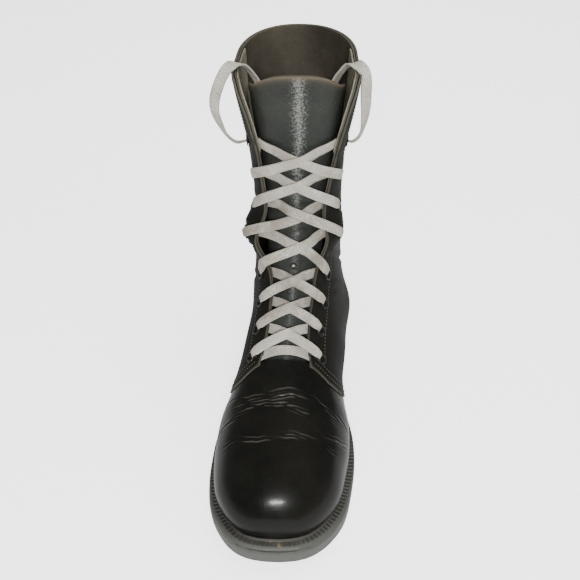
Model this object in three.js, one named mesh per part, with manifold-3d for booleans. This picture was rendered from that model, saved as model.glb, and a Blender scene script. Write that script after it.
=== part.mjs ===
// A tall plain-toe leather combat boot, laced through eight pairs of eyelets.
// Millimetres, +Z up, toe towards -Y. The sections below are those of the last that the boot is
// made on: x is counted towards the outer side of the foot.
import * as THREE from "three";
import { mergeVertices } from "three/addons/utils/BufferGeometryUtils.js";
import Module from "manifold-3d";

const wasm = await Module();
wasm.setup();

// Left boot: the outer side of the foot is at +X. A right boot has -1 here.
const OUTER_SIDE = 1;
const GAP = 0.3;

// The last, with the leather on it
const LAST_LENGTH = 292;
const BALL_WIDTH = 102;
const HEEL_WIDTH = 70;
const INSTEP_HEIGHT = 124;
const BOOT_HEIGHT = 273;
const SHAFT_WIDTH = 90;
const LEATHER = 2.2;
const QUARTER_LAP = 1.2;

// Sole
const FOREFOOT_SOLE = 13;
const SHANK_SOLE = 8;
const HEEL_LIFT = 15;
const TOE_SPRING = 11;
const WELT_HEIGHT = 4;
const WELT_WIDTH = 8.5;
const HEEL_WELT_WIDTH = 4.5;
const TREAD_DEPTH = 3.5;
const TREAD_RIM = 10;
const TREAD_PITCH = 13;
const TREAD_GROOVE = 4.5;
const INSOLE_THICKNESS = 4;
const INSOLE_CLEARANCE = 0.4;

// Throat, tongue and lacing
const THROAT_WIDTH = 35;
const TONGUE_THICKNESS = 2.2;
const TONGUE_DEPTH = 6;
const EYELET_ROWS = 8;
const EYELET_PITCH = 20.8;
const ANKLE_ROW = 4;
const ANKLE_PITCH = 33;
const FIRST_EYELET = 8;
const EYELET_FROM_EDGE = 9;
const EYELET_HOLE = 2.3;
const EYELET_BARREL = 2.8;
const EYELET_FLANGE = 4.4;
const EYELET_RISE = 1;
const LACE_WIDTH = 7;
const LACE_THICKNESS = 1.3;

// How far the worn flaps stand out at the collar and at the ankle bend
const COLLAR_FLARE = 4;
const COLLAR_REACH = 75;
const INNER_BUCKLE = 11;
const OUTER_BUCKLE = 7;
const BUCKLE_REACH = 15;

const ramp = (value, low, high) => {
  const share = Math.min(1, Math.max(0, (value - low) / (high - low)));
  return share * share * (3 - 2 * share);
};
const mix = (a, b, share) => a + (b - a) * share;

function named(columns, rows) {
  return rows.map((row) => Object.fromEntries(columns.map((column, i) => [column, row[i]])));
}

// Smooth curve through one column of a table, at a row number that need not be whole
function along(table, column, at) {
  const last = table.length - 1;
  const i = Math.min(last - 1, Math.max(0, Math.floor(at)));
  const u = at - i;
  const value = (k) => table[Math.min(last, Math.max(0, k))][column];
  const [a, b, c, d] = [value(i - 1), value(i), value(i + 1), value(i + 2)];
  return b + 0.5 * u * (c - a + u * (2 * a - 5 * b + 4 * c - d + u * (3 * (b - c) + d - a)));
}

// The top of the outsole, its underside, and the plane that the upper stands on
const LIFT_START = -0.09 * LAST_LENGTH;
const LIFT_END = 0.24 * LAST_LENGTH;
const SPRING_START = -0.24 * LAST_LENGTH;
const SPRING_LENGTH = 0.26 * LAST_LENGTH;

function soleTop(y) {
  const spring = Math.max(0, (SPRING_START - y) / SPRING_LENGTH);
  return FOREFOOT_SOLE + HEEL_LIFT * ramp(y, LIFT_START, LIFT_END) + TOE_SPRING * spring ** 2;
}
function soleBottom(y) {
  return soleTop(y) - mix(FOREFOOT_SOLE, SHANK_SOLE, ramp(y, LIFT_START, 0.07 * LAST_LENGTH));
}
const seat = (y) => soleTop(y) + GAP + WELT_HEIGHT + GAP;

// Sections of the last. Each lies in the plane through a point on its top or front line and a point
// on its base or back line. Lengths are shares of LAST_LENGTH, heights are shares from the seat (0)
// to INSTEP_HEIGHT (1) and on to BOOT_HEIGHT (2), sideways sizes are shares of the width in "of".
// belly is where the section is widest, and the rounds are the powers of its curve.
const WIDTHS = { ball: BALL_WIDTH, heel: HEEL_WIDTH, shaft: SHAFT_WIDTH };
const LAST = named(
  ["of", "topY", "topZ", "topX", "baseY", "baseZ", "baseX", "half", "belly", "baseRound", "topRound"],
  [
    ["ball", -0.511, 0.086, -0.035, -0.511, 0, -0.03, 0.046, 0.4, 2, 2],
    ["ball", -0.505, 0.182, -0.035, -0.505, 0, -0.028, 0.163, 0.4, 2.5, 2],
    ["ball", -0.49, 0.278, -0.03, -0.49, 0, -0.024, 0.262, 0.36, 3, 2],
    ["ball", -0.458, 0.378, -0.022, -0.458, 0, -0.018, 0.36, 0.33, 3.4, 2],
    ["ball", -0.409, 0.458, -0.014, -0.409, 0, -0.014, 0.442, 0.3, 3.8, 2.05],
    ["ball", -0.342, 0.505, -0.008, -0.342, 0, -0.01, 0.485, 0.28, 4, 2.1],
    ["ball", -0.274, 0.535, -0.002, -0.274, 0, 0, 0.505, 0.27, 4, 2.1],
    ["ball", -0.205, 0.577, 0.002, -0.199, 0, 0.007, 0.502, 0.27, 4, 2],
    ["ball", -0.144, 0.651, 0.006, -0.127, 0, 0.02, 0.458, 0.28, 4, 2],
    ["ball", -0.086, 0.761, 0.017, -0.045, 0, 0.036, 0.414, 0.3, 4, 2],
    ["ball", -0.034, 0.879, 0.034, 0.048, 0, 0.066, 0.394, 0.32, 4, 2.1],
    ["heel", 0.01, 1, 0.075, 0.158, 0, 0.118, 0.535, 0.33, 4, 2.2],
    ["heel", 0.045, 1.089, 0.085, 0.274, 0, 0.137, 0.54, 0.34, 4, 2.4],
    ["heel", 0.068, 1.17, 0.085, 0.384, 0, 0.123, 0.514, 0.35, 3.8, 2.6],
    ["heel", 0.086, 1.248, 0.09, 0.462, 0, 0.116, 0.504, 0.37, 3.2, 2.8],
    ["heel", 0.098, 1.326, 0.095, 0.502, 0.168, 0.11, 0.506, 0.4, 2.6, 2.8],
    ["heel", 0.106, 1.397, 0.1, 0.502, 0.488, 0.114, 0.497, 0.42, 2.4, 2.8],
    ["shaft", 0.111, 1.468, 0.08, 0.479, 0.84, 0.09, 0.374, 0.44, 2.3, 2.8],
    ["shaft", 0.115, 1.564, 0.086, 0.467, 1.156, 0.082, 0.382, 0.46, 2.2, 2.8],
    ["shaft", 0.113, 1.674, 0.095, 0.469, 1.418, 0.08, 0.398, 0.48, 2.2, 2.8],
    ["shaft", 0.106, 1.794, 0.1, 0.479, 1.66, 0.08, 0.428, 0.5, 2.2, 2.8],
    ["shaft", 0.096, 1.929, 0.1, 0.49, 1.865, 0.08, 0.454, 0.5, 2.2, 2.8],
    ["shaft", 0.086, 2.057, 0.1, 0.497, 2.046, 0.08, 0.47, 0.5, 2.2, 2.8],
    ["shaft", 0.079, 2.17, 0.1, 0.5, 2.17, 0.08, 0.482, 0.5, 2.2, 2.8],
  ],
).map((row) => {
  const height = (share, y) => {
    const foot = seat(y) - LEATHER * 2;
    return share <= 1 ? mix(foot, INSTEP_HEIGHT, share) : mix(INSTEP_HEIGHT, BOOT_HEIGHT, share - 1);
  };
  const width = WIDTHS[row.of];
  const topY = row.topY * LAST_LENGTH;
  const baseY = row.baseY * LAST_LENGTH;
  return {
    ...row,
    topY,
    baseY,
    topZ: height(row.topZ, topY),
    baseZ: height(row.baseZ, baseY),
    topX: row.topX * width,
    baseX: row.baseX * width,
    half: row.half * width,
  };
});
const LAST_ROW = LAST.length - 1;
const HEEL_CUP_ROW = 15;
const SHAFT_CENTRE = LAST.at(-1).baseX;

// A point of the last: row counts along the sections, round goes from -1 (base or back) over the
// inner side to 0 (top or front) and over the outer side back to 1.
function lastPoint(row, round) {
  const at = Math.min(LAST_ROW, Math.max(0, row));
  const get = (column) => along(LAST, column, at);
  const turn = Math.PI * (round > 1 ? round - 2 : round < -1 ? round + 2 : round);
  const up = Math.cos(turn);
  const power = 2 / get(up > 0 ? "topRound" : "baseRound");
  const belly = get("belly");
  const rise = belly + Math.sign(up) * Math.abs(up) ** power * (up > 0 ? 1 - belly : belly);
  const middle = mix(get("baseX"), get("topX"), ramp(rise, belly, 1));
  return new THREE.Vector3(
    middle + Math.sign(turn) * get("half") * Math.abs(Math.sin(turn)) ** power,
    mix(get("baseY"), get("topY"), rise),
    mix(get("baseZ"), get("topZ"), rise),
  );
}

function lastNormal(row, round) {
  const step = 0.02;
  const forward = lastPoint(row + step, round).sub(lastPoint(row - step, round));
  const around = lastPoint(row, round + step).sub(lastPoint(row, round - step));
  return around.cross(forward).normalize();
}

const skin = (row, round, offset) =>
  lastPoint(row, round).addScaledVector(lastNormal(row, round), offset);

// A closed mesh from a list of corners and a list of triangles, turned to face outwards
function closed(points, triangles) {
  const position = new Float32Array(points.flatMap((p) => [p.x, p.y, p.z]));
  let volume = 0;
  for (const [a, b, c] of triangles) {
    volume += points[a].dot(points[b].clone().cross(points[c]));
  }
  const order = volume < 0 ? triangles.map(([a, b, c]) => [a, c, b]) : triangles;
  const geometry = new THREE.BufferGeometry();
  geometry.setAttribute("position", new THREE.BufferAttribute(position, 3));
  geometry.setIndex(order.flat());
  return geometry;
}

// A solid between two layers of a grid; at(u, v, layer) gives each corner
function sheet(stepsU, stepsV, at) {
  const points = [];
  const triangles = [];
  for (const layer of [0, 1]) {
    for (let i = 0; i <= stepsU; i++) {
      for (let j = 0; j <= stepsV; j++) points.push(at(i / stepsU, j / stepsV, layer));
    }
  }
  const id = (i, j, layer) => (layer * (stepsU + 1) + i) * (stepsV + 1) + j;
  const quad = (a, b, c, d) => triangles.push([a, b, c], [a, c, d]);
  for (let i = 0; i < stepsU; i++) {
    for (let j = 0; j < stepsV; j++) {
      quad(id(i, j, 1), id(i + 1, j, 1), id(i + 1, j + 1, 1), id(i, j + 1, 1));
      quad(id(i, j, 0), id(i, j + 1, 0), id(i + 1, j + 1, 0), id(i + 1, j, 0));
    }
    quad(id(i, 0, 0), id(i + 1, 0, 0), id(i + 1, 0, 1), id(i, 0, 1));
    quad(id(i, stepsV, 0), id(i, stepsV, 1), id(i + 1, stepsV, 1), id(i + 1, stepsV, 0));
  }
  for (let j = 0; j < stepsV; j++) {
    quad(id(0, j, 0), id(0, j, 1), id(0, j + 1, 1), id(0, j + 1, 0));
    quad(id(stepsU, j, 0), id(stepsU, j + 1, 0), id(stepsU, j + 1, 1), id(stepsU, j, 1));
  }
  return closed(points, triangles);
}

// The whole last, grown by an offset, as a closed form
function form(offset, sides = 24, halves = [0, 1, 10, 11, 12, 13, 14]) {
  const points = [];
  const triangles = [];
  const rows = LAST.flatMap((_, row) => (halves.includes(row) ? [row, row + 0.5] : [row]));
  for (const row of rows) {
    for (let j = 0; j < sides; j++) points.push(skin(row, -1 + (2 * j) / sides, offset));
  }
  const rings = rows.length - 1;
  const id = (i, j) => i * sides + (j % sides);
  for (let i = 0; i < rings; i++) {
    for (let j = 0; j < sides; j++) {
      triangles.push([id(i, j), id(i + 1, j), id(i + 1, j + 1)]);
      triangles.push([id(i, j), id(i + 1, j + 1), id(i, j + 1)]);
    }
  }
  for (const ring of [0, rings]) {
    const middle = new THREE.Vector3();
    for (let j = 0; j < sides; j++) middle.addScaledVector(points[id(ring, j)], 1 / sides);
    points.push(middle);
    for (let j = 0; j < sides; j++) {
      const face = [id(ring, j), id(ring, j + 1), points.length - 1];
      triangles.push(ring ? face.reverse() : face);
    }
  }
  return closed(points, triangles);
}

function solid(geometry) {
  const bare = geometry.clone();
  bare.deleteAttribute("normal");
  bare.deleteAttribute("uv");
  const merged = mergeVertices(bare, 1e-4);
  return new wasm.Manifold(
    new wasm.Mesh({
      numProp: 3,
      vertProperties: new Float32Array(merged.attributes.position.array),
      triVerts: new Uint32Array(merged.index.array),
    }),
  );
}

function geometryOf(body) {
  const mesh = body.getMesh();
  const geometry = new THREE.BufferGeometry();
  geometry.setAttribute("position", new THREE.BufferAttribute(mesh.vertProperties, 3));
  geometry.setIndex(new THREE.BufferAttribute(mesh.triVerts, 1));
  return geometry;
}

// A prism over an outline in plan (x, y), or through the whole width over one in profile (y, z)
const FAR = 400;
function planPrism(outline, low, high) {
  const shape = new THREE.Shape(outline.map((p) => new THREE.Vector2(p.x, p.y)));
  const prism = new THREE.ExtrudeGeometry(shape, { depth: high - low, bevelEnabled: false });
  return solid(prism.translate(0, 0, low));
}
function profilePrism(outline, halfWidth = FAR) {
  const shape = new THREE.Shape(outline.map(([y, z]) => new THREE.Vector2(y, z)));
  const prism = new THREE.ExtrudeGeometry(shape, { depth: 2 * halfWidth, bevelEnabled: false });
  const turn = new THREE.Matrix4().set(0, 0, 1, -halfWidth, 1, 0, 0, 0, 0, 1, 0, 0, 0, 0, 0, 1);
  return solid(prism.applyMatrix4(turn));
}
function curve(from, to, steps, height) {
  return Array.from({ length: steps + 1 }, (_, i) => {
    const y = mix(from, to, i / steps);
    return [y, height(y)];
  });
}

// Where the upper's face meets the seat, all the way round, worked out from the sections
function between(low, high, isLow) {
  for (let k = 0; k < 40; k++) {
    const middle = (low + high) / 2;
    if (isLow(middle)) low = middle;
    else high = middle;
  }
  return low;
}
const aboveSeat = (p) => p.z > seat(p.y);
function featherLine(offset, steps = 27) {
  const heelRow = between(HEEL_CUP_ROW - 2, HEEL_CUP_ROW, (row) => !aboveSeat(skin(row, 1, offset)));
  const side = (sign, from, to) => {
    const points = [];
    for (let i = from; i <= to; i++) {
      const row = heelRow * (1 - (1 - i / steps) ** 1.5);
      const round = between(0.5, 1, (share) => aboveSeat(skin(row, sign * share, offset)));
      points.push(skin(row, sign * round, offset));
    }
    return points;
  };
  return [...side(1, 0, steps), ...side(-1, 0, steps - 1).reverse()];
}

// The same line moved sideways in plan by a distance that may change along the boot
function moved(outline, distance) {
  return outline.map((p, i) => {
    const before = outline[(i + outline.length - 1) % outline.length];
    const after = outline[(i + 1) % outline.length];
    const out = new THREE.Vector2(after.y - before.y, before.x - after.x).normalize();
    const shift = distance(p);
    return new THREE.Vector3(p.x + out.x * shift, p.y + out.y * shift, 0);
  });
}

// Worn flaps: the fronts of the shaft stand out at the collar and buckle at the ankle bend
const FLAP_BACK = 0.3 * LAST_LENGTH;
const FLAP_FRONT = 0.14 * LAST_LENGTH;
function worn(point) {
  const side = Math.max(-1, Math.min(1, point.x / 12));
  const flap = ramp(point.y, FLAP_BACK, FLAP_FRONT);
  const top = ramp(point.z, BOOT_HEIGHT - COLLAR_REACH, BOOT_HEIGHT) ** 1.5;
  const bend = Math.exp(-(((point.z - BEND.z) / BUCKLE_REACH) ** 2)) *
    ramp(point.y, BEND.y + 3 * BUCKLE_REACH, BEND.y + BUCKLE_REACH) *
    mix(INNER_BUCKLE, OUTER_BUCKLE, (side + 1) / 2);
  return new THREE.Vector3(
    point.x + side * (COLLAR_FLARE * top * flap + bend),
    point.y - 0.6 * COLLAR_FLARE * top * flap - 0.2 * bend,
    point.z,
  );
}

// Throat edge: its half width along the edge, as shares of THROAT_WIDTH / 2
const THROAT_ROW = 8.3;
const THROAT = named(
  ["along", "open"],
  [
    [0, 1.08],
    [0.12, 0.91],
    [0.25, 0.92],
    [0.4, 1],
    [0.6, 1.22],
    [0.75, 1.37],
    [0.85, 1.6],
    [1, 2.1],
  ],
);
function openingAt(share) {
  const after = Math.max(1, THROAT.findIndex((r) => r.along >= Math.min(1, share)));
  const [a, b] = [THROAT[after - 1], THROAT[after]];
  const row = after - 1 + (share - a.along) / (b.along - a.along);
  return (THROAT_WIDTH / 2) * along(THROAT, "open", row);
}

// The |round| at which the outer skin is a given distance from the middle line
function roundAt(row, x) {
  const middle = along(LAST, "topX", row);
  return between(0, 0.5, (share) => lastPoint(row, share).x - middle < x);
}

// Row numbers against the length along the middle line from the throat's end
const EDGE = [];
for (let row = THROAT_ROW, length = 0; row <= LAST_ROW; row += 0.05) {
  if (EDGE.length) length += lastPoint(row, 0).distanceTo(lastPoint(row - 0.05, 0));
  EDGE.push({ row, length });
}
const COLLAR_LENGTH = EDGE.find((e) => lastPoint(e.row, 0).z > BOOT_HEIGHT).length;
function lookUp(key, value, wanted) {
  const found = EDGE.findIndex((e) => e[key] >= value);
  const after = found < 0 ? EDGE.length - 1 : Math.max(1, found);
  const [a, b] = [EDGE[after - 1], EDGE[after]];
  return mix(a[wanted], b[wanted], (value - a[key]) / (b[key] - a[key]));
}
const rowAt = (length) => lookUp("length", length, "row");
const lengthAt = (row) => lookUp("row", row, "length");
const eyeletLength = (i) =>
  FIRST_EYELET + i * EYELET_PITCH + (i >= ANKLE_ROW ? ANKLE_PITCH - EYELET_PITCH : 0);

// A point at x to the side of the middle line, on the last and on the worn leather
const across = (row, x, offset) => skin(row, Math.sign(x) * roundAt(row, Math.abs(x)), offset);
const bendLength = mix(eyeletLength(ANKLE_ROW - 1), eyeletLength(ANKLE_ROW), 0.7);
const BEND = across(rowAt(bendLength), openingAt(bendLength / COLLAR_LENGTH), 0);
const onLeather = (length, x, offset) => worn(across(rowAt(length), x, offset));
function leatherNormal(length, x) {
  const up = onLeather(length + 1, x, 0).sub(onLeather(length - 1, x, 0));
  const sideways = onLeather(length, x + 1, 0).sub(onLeather(length, x - 1, 0));
  return sideways.cross(up).normalize();
}
const eyeletX = (i) => openingAt(eyeletLength(i) / COLLAR_LENGTH) + EYELET_FROM_EDGE;

const EYELET_SIDES = 8;
const EYELETS = [];
for (let i = 0; i < EYELET_ROWS; i++) {
  for (const [name, side] of [["inner", -1], ["outer", 1]]) {
    const [length, x] = [eyeletLength(i), side * eyeletX(i)];
    const turn = new THREE.Quaternion();
    turn.setFromUnitVectors(new THREE.Vector3(0, 1, 0), leatherNormal(length, x));
    const centre = onLeather(length, x, QUARTER_LAP);
    const frame = new THREE.Matrix4().compose(centre, turn, new THREE.Vector3(1, 1, 1));
    EYELETS.push({ name: `${name}_${i + 1}`, frame });
  }
}

function turnedRing(outline, frame) {
  const points = outline.map(([radius, height]) => new THREE.Vector2(radius, height));
  return new THREE.LatheGeometry(points, EYELET_SIDES).applyMatrix4(frame);
}

const boot = new THREE.Group();
const finish = (color, roughness, metalness = 0) =>
  new THREE.MeshStandardMaterial({ color, roughness, metalness });
const BLACK_LEATHER = finish(0x1d1d1a, 0.35);
const TONGUE_LEATHER = finish(0x2c2e2b, 0.4);
const WELT_RUBBER = finish(0x3a3934, 0.7);
const SOLE_RUBBER = finish(0x2a2a28, 0.75);
const INSOLE_BOARD = finish(0x6b5a44, 0.9);
const EYELET_ENAMEL = finish(0x151515, 0.4, 0.6);
const LACE_COTTON = finish(0xddd8cd, 0.9);
const TIP_PLASTIC = finish(0xe6e4de, 0.4);

function add(name, geometry, material) {
  const turned = geometry.clone();
  if (OUTER_SIDE < 0) {
    turned.scale(-1, 1, 1);
    const index = turned.index.array;
    for (let i = 0; i < index.length; i += 3) [index[i], index[i + 1]] = [index[i + 1], index[i]];
  }
  const mesh = new THREE.Mesh(turned, material);
  mesh.name = name;
  boot.add(mesh);
}

// Sole: outsole, heel block, welt and insole
const outerFeather = featherLine(0);
const innerFeather = featherLine(-LEATHER);
const welt = moved(outerFeather, (p) => mix(WELT_WIDTH, HEEL_WELT_WIDTH, ramp(p.y, LIFT_START, LIFT_END)));
const REAR = 0.6 * LAST_LENGTH;
const BREAST = 0.25 * LAST_LENGTH;

const treadArea = planPrism(moved(welt, () => -TREAD_RIM), -FAR, FAR);
function grooves(from, to) {
  let slots;
  for (let y = from; y <= to; y += TREAD_PITCH) {
    const slot = solid(new THREE.BoxGeometry(FAR, TREAD_GROOVE, FAR).translate(0, y, 0));
    slots = slots ? slots.add(slot) : slot;
  }
  return slots.intersect(treadArea);
}
const profile = (low, high, from = -REAR, to = REAR) =>
  profilePrism([...curve(from, to, 48, low), ...curve(from, to, 48, high).reverse()]);

const soleBody = planPrism(welt, -FAR, FAR).intersect(profile(soleBottom, soleTop));
const forefootTread = grooves(-0.44 * LAST_LENGTH, LIFT_START - TREAD_GROOVE).intersect(
  profile(() => -FAR, (y) => soleBottom(y) + TREAD_DEPTH),
);
add("outsole", geometryOf(soleBody.subtract(forefootTread)), SOLE_RUBBER);

const heelTop = (y) => soleBottom(y) - GAP;
const heelTread = grooves(BREAST + TREAD_PITCH, 0.46 * LAST_LENGTH).intersect(
  profile(() => -FAR, () => TREAD_DEPTH),
);
const heel = planPrism(welt, -FAR, FAR)
  .intersect(profile(() => 0, heelTop, BREAST, REAR))
  .subtract(heelTread);
add("heel", geometryOf(heel), SOLE_RUBBER);

const weltBottom = (y) => soleTop(y) + GAP;
const weltRing = planPrism(welt, -FAR, FAR)
  .subtract(planPrism(innerFeather, -FAR, FAR))
  .intersect(profile(weltBottom, (y) => weltBottom(y) + WELT_HEIGHT));
add("welt", geometryOf(weltRing), WELT_RUBBER);

const insole = planPrism(moved(innerFeather, () => -INSOLE_CLEARANCE), -FAR, FAR).intersect(
  profile(weltBottom, (y) => weltBottom(y) + INSOLE_THICKNESS),
);
add("insole", geometryOf(insole), INSOLE_BOARD);

// Upper: one wall with the quarters' step over the vamp, open below, at the throat and on top
// The quarters' front edge in profile, from the end of the throat down to the waist, as shares of
// the height of the throat's end above the ball of the sole
const throatEnd = lastPoint(THROAT_ROW, 0);
const QUARTER_EDGE = named(
  ["back", "down"],
  [
    [0, -0.05],
    [-0.02, 0.09],
    [-0.07, 0.22],
    [-0.07, 0.32],
    [-0.03, 0.44],
    [0.06, 0.57],
    [0.19, 0.7],
    [0.3, 0.78],
  ],
).map(({ back, down }) => [throatEnd.y + back * throatEnd.z, throatEnd.z * (1 - down)]);
const quarterArea = profilePrism([
  [QUARTER_EDGE[0][0], FAR],
  ...QUARTER_EDGE,
  [QUARTER_EDGE.at(-1)[0], -FAR],
  [FAR, -FAR],
  [FAR, FAR],
]);
const belowSeat = profile(() => -FAR, seat);
const aboveCollar = solid(
  new THREE.BoxGeometry(FAR, FAR, FAR).translate(0, 0, BOOT_HEIGHT + FAR / 2),
);
const THROAT_CUT = 9;
const throat = solid(
  sheet(30, 6, (u, v, layer) => {
    const row = mix(THROAT_ROW, LAST_ROW, u);
    const x = openingAt(Math.min(1, lengthAt(row) / COLLAR_LENGTH)) * (2 * v - 1);
    return across(row, x, layer ? THROAT_CUT : -THROAT_CUT);
  }),
);

function placed(geometry, change) {
  const result = geometry.clone();
  const position = result.attributes.position;
  for (let i = 0; i < position.count; i++) {
    const p = change(new THREE.Vector3().fromBufferAttribute(position, i));
    position.setXYZ(i, p.x, p.y, p.z);
  }
  return result;
}

let upper = solid(form(0))
  .add(solid(form(QUARTER_LAP)).intersect(quarterArea))
  .subtract(solid(form(-LEATHER, 20, [11, 12, 13])))
  .subtract(belowSeat)
  .subtract(aboveCollar)
  .subtract(throat);
upper = solid(placed(geometryOf(upper), worn));
// Each hole has a flat seat round it for the ring of its eyelet
const hole = [
  [0, -THROAT_CUT],
  [EYELET_BARREL + GAP, -THROAT_CUT],
  [EYELET_BARREL + GAP, 0],
  [EYELET_FLANGE + GAP, 0],
  [EYELET_FLANGE + GAP, THROAT_CUT / 2],
  [0, THROAT_CUT / 2],
  [0, -THROAT_CUT],
];
for (const { frame } of EYELETS) upper = upper.subtract(solid(turnedRing(hole, frame)));
add("upper", geometryOf(upper), BLACK_LEATHER);

// Backstay: a strip over the back seam, wider over the heel
const BACKSTAY_WIDTH = 24;
const BACKSTAY_FOOT = 46;
const BACKSTAY_RISE = 70;
const BACKSTAY_THICKNESS = 1.3;
const BACKSTAY_MARGIN = 4;
const heelSeat = soleTop(LIFT_END) + GAP + WELT_HEIGHT + 2 * GAP;
const backstayOutline = [
  [BACKSTAY_FOOT, heelSeat],
  [BACKSTAY_FOOT, heelSeat + BACKSTAY_RISE / 2],
  [BACKSTAY_WIDTH, heelSeat + BACKSTAY_RISE],
  [BACKSTAY_WIDTH, BOOT_HEIGHT - BACKSTAY_MARGIN],
];
const backstayShape = new THREE.Shape(
  [...backstayOutline, ...backstayOutline.map(([width, z]) => [-width, z]).reverse()].map(
    ([width, z]) => new THREE.Vector2(width / 2 + SHAFT_CENTRE, z),
  ),
);
const backstayArea = new THREE.ExtrudeGeometry(backstayShape, { depth: FAR, bevelEnabled: false })
  .rotateX(Math.PI / 2)
  .translate(0, FAR + BREAST, 0);
const backstay = solid(form(QUARTER_LAP + GAP + BACKSTAY_THICKNESS))
  .subtract(solid(form(QUARTER_LAP + GAP)))
  .intersect(solid(backstayArea));
add("backstay", geometryOf(backstay), BLACK_LEATHER);

// Tongue: sewn under the end of the vamp, then lying a little behind the laces
const TONGUE_SEAM = 11;
const TONGUE_MARGIN = 9;
const TONGUE_WIDEST = 0.88;
const TONGUE_CORNER = 8;
add(
  "tongue",
  sheet(20, 6, (u, v, layer) => {
    const side = 2 * v - 1;
    const length = mix(-TONGUE_SEAM, COLLAR_LENGTH - TONGUE_CORNER * side ** 4, u);
    const reach = openingAt(Math.min(TONGUE_WIDEST, Math.max(0, length) / COLLAR_LENGTH));
    const depth = mix(LEATHER + GAP, TONGUE_DEPTH, ramp(length, -TONGUE_SEAM / 2, TONGUE_SEAM / 2));
    const offset = -depth - (layer ? 0 : TONGUE_THICKNESS);
    return across(rowAt(length), (reach + TONGUE_MARGIN) * side, offset);
  }),
  TONGUE_LEATHER,
);

// Eyelets: a rolled ring on the leather with its barrel through it
const barrelEnd = -(LEATHER + QUARTER_LAP + GAP);
const ring = [
  [EYELET_HOLE, barrelEnd],
  [EYELET_BARREL, barrelEnd],
  [EYELET_BARREL, GAP],
  [EYELET_FLANGE, GAP],
  [EYELET_FLANGE - EYELET_RISE / 2, EYELET_RISE],
  [EYELET_HOLE, EYELET_RISE],
  [EYELET_HOLE, barrelEnd],
];
for (const { name, frame } of EYELETS) {
  add(`eyelet_${name}`, geometryOf(solid(turnedRing(ring, frame))), EYELET_ENAMEL);
}

// Laces: each strand leaves its eyelet on the outside, crosses over and dives under the other flap
const OVER_FLAP = QUARTER_LAP + EYELET_RISE + 5 * GAP + LACE_THICKNESS / 2;
const UNDER_FLAP = -(LEATHER + 4 * GAP + LACE_THICKNESS / 2);
const MID_THROAT = 0.6;
const LACE_TUCK = 5;
const LACE_DIVE = 7;
const BUCKLE_CLEARANCE = 1.6;

function strand(from, to, start, end, height, steps = 11) {
  const at = (u) => {
    const length = mix(from, to, u);
    const x = mix(start, end, u);
    return onLeather(length, x, height(length, x));
  };
  return sheet(steps, 1, (u, v, layer) => {
    const along = at(u + 0.01).sub(at(u - 0.01)).normalize();
    const out = leatherNormal(mix(from, to, u), mix(start, end, u));
    const flat = along.clone().cross(out).normalize();
    const up = flat.clone().cross(along);
    return at(u)
      .addScaledVector(flat, LACE_WIDTH * (v - 0.5))
      .addScaledVector(up, LACE_THICKNESS * (layer - 0.5));
  });
}

const opening = (length) => openingAt(length / COLLAR_LENGTH);
const barLength = eyeletLength(0);
const barReach = opening(barLength) + LACE_TUCK;
const bar = strand(barLength, barLength, -barReach, barReach, () => UNDER_FLAP);
add("lace_bar", geometryOf(solid(bar)), LACE_COTTON);

for (let i = 0; i < EYELET_ROWS - 1; i++) {
  const [from, to] = [eyeletLength(i), eyeletLength(i + 1)];
  const clear = i === ANKLE_ROW - 1 ? BUCKLE_CLEARANCE : 0;
  const [first, second] = [-1, 1].map((side) =>
    strand(from, to, side * eyeletX(i), -side * (opening(to) + LACE_TUCK), (length, x) => {
      const own = side * x;
      if (own > 0) return mix(MID_THROAT, OVER_FLAP + clear, ramp(own, 0, opening(from)));
      return mix(MID_THROAT, UNDER_FLAP - clear, ramp(-own, 0, opening(to) - LACE_DIVE));
    }),
  );
  add(`lace_crossing_${i + 1}`, geometryOf(solid(first).add(solid(second))), LACE_COTTON);
}

// Lace ends: out of the top eyelets, up beside the shaft and over the collar, with a tip inside
const LACE_END = 3.6;
const TIP_LENGTH = 18;
const TIP_THICKNESS = 3.2;
const LACE_ENDS = {
  inner: [
    [-32.4, 61, 218.6], [-35.4, 58.6, 219.4], [-39, 56.4, 222.4], [-43.2, 54.4, 228.6],
    [-46.1, 53.2, 236], [-48.2, 52.4, 243.2], [-49, 52, 250], [-48, 51.8, 257],
    [-45.6, 52.2, 264], [-42.4, 53.8, 270.6], [-38.8, 57, 275.8], [-34.6, 61.6, 278],
    [-30, 66, 275.6], [-26.2, 69.2, 270.4], [-22.8, 71.6, 264.2], [-20, 73.6, 257.6],
    [-18.4, 75.6, 250.6], [-17.6, 77.6, 243.6],
  ],
  outer: [
    [47.8, 61.4, 219], [50.6, 59.4, 221.8], [53, 57.2, 226.6], [54.8, 55.4, 233],
    [55.6, 54, 240], [55.8, 53, 247.2], [55.6, 52.4, 254.4], [55.2, 52.2, 261.4],
    [55, 53, 268.4], [53.6, 55.8, 275], [49.4, 60.4, 278.6], [44.6, 64.8, 277.2],
    [40.8, 68.2, 272], [37.4, 71, 265.8], [34.4, 73.4, 259], [32.6, 75.6, 252],
    [31.8, 77.8, 245],
  ],
};
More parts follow.
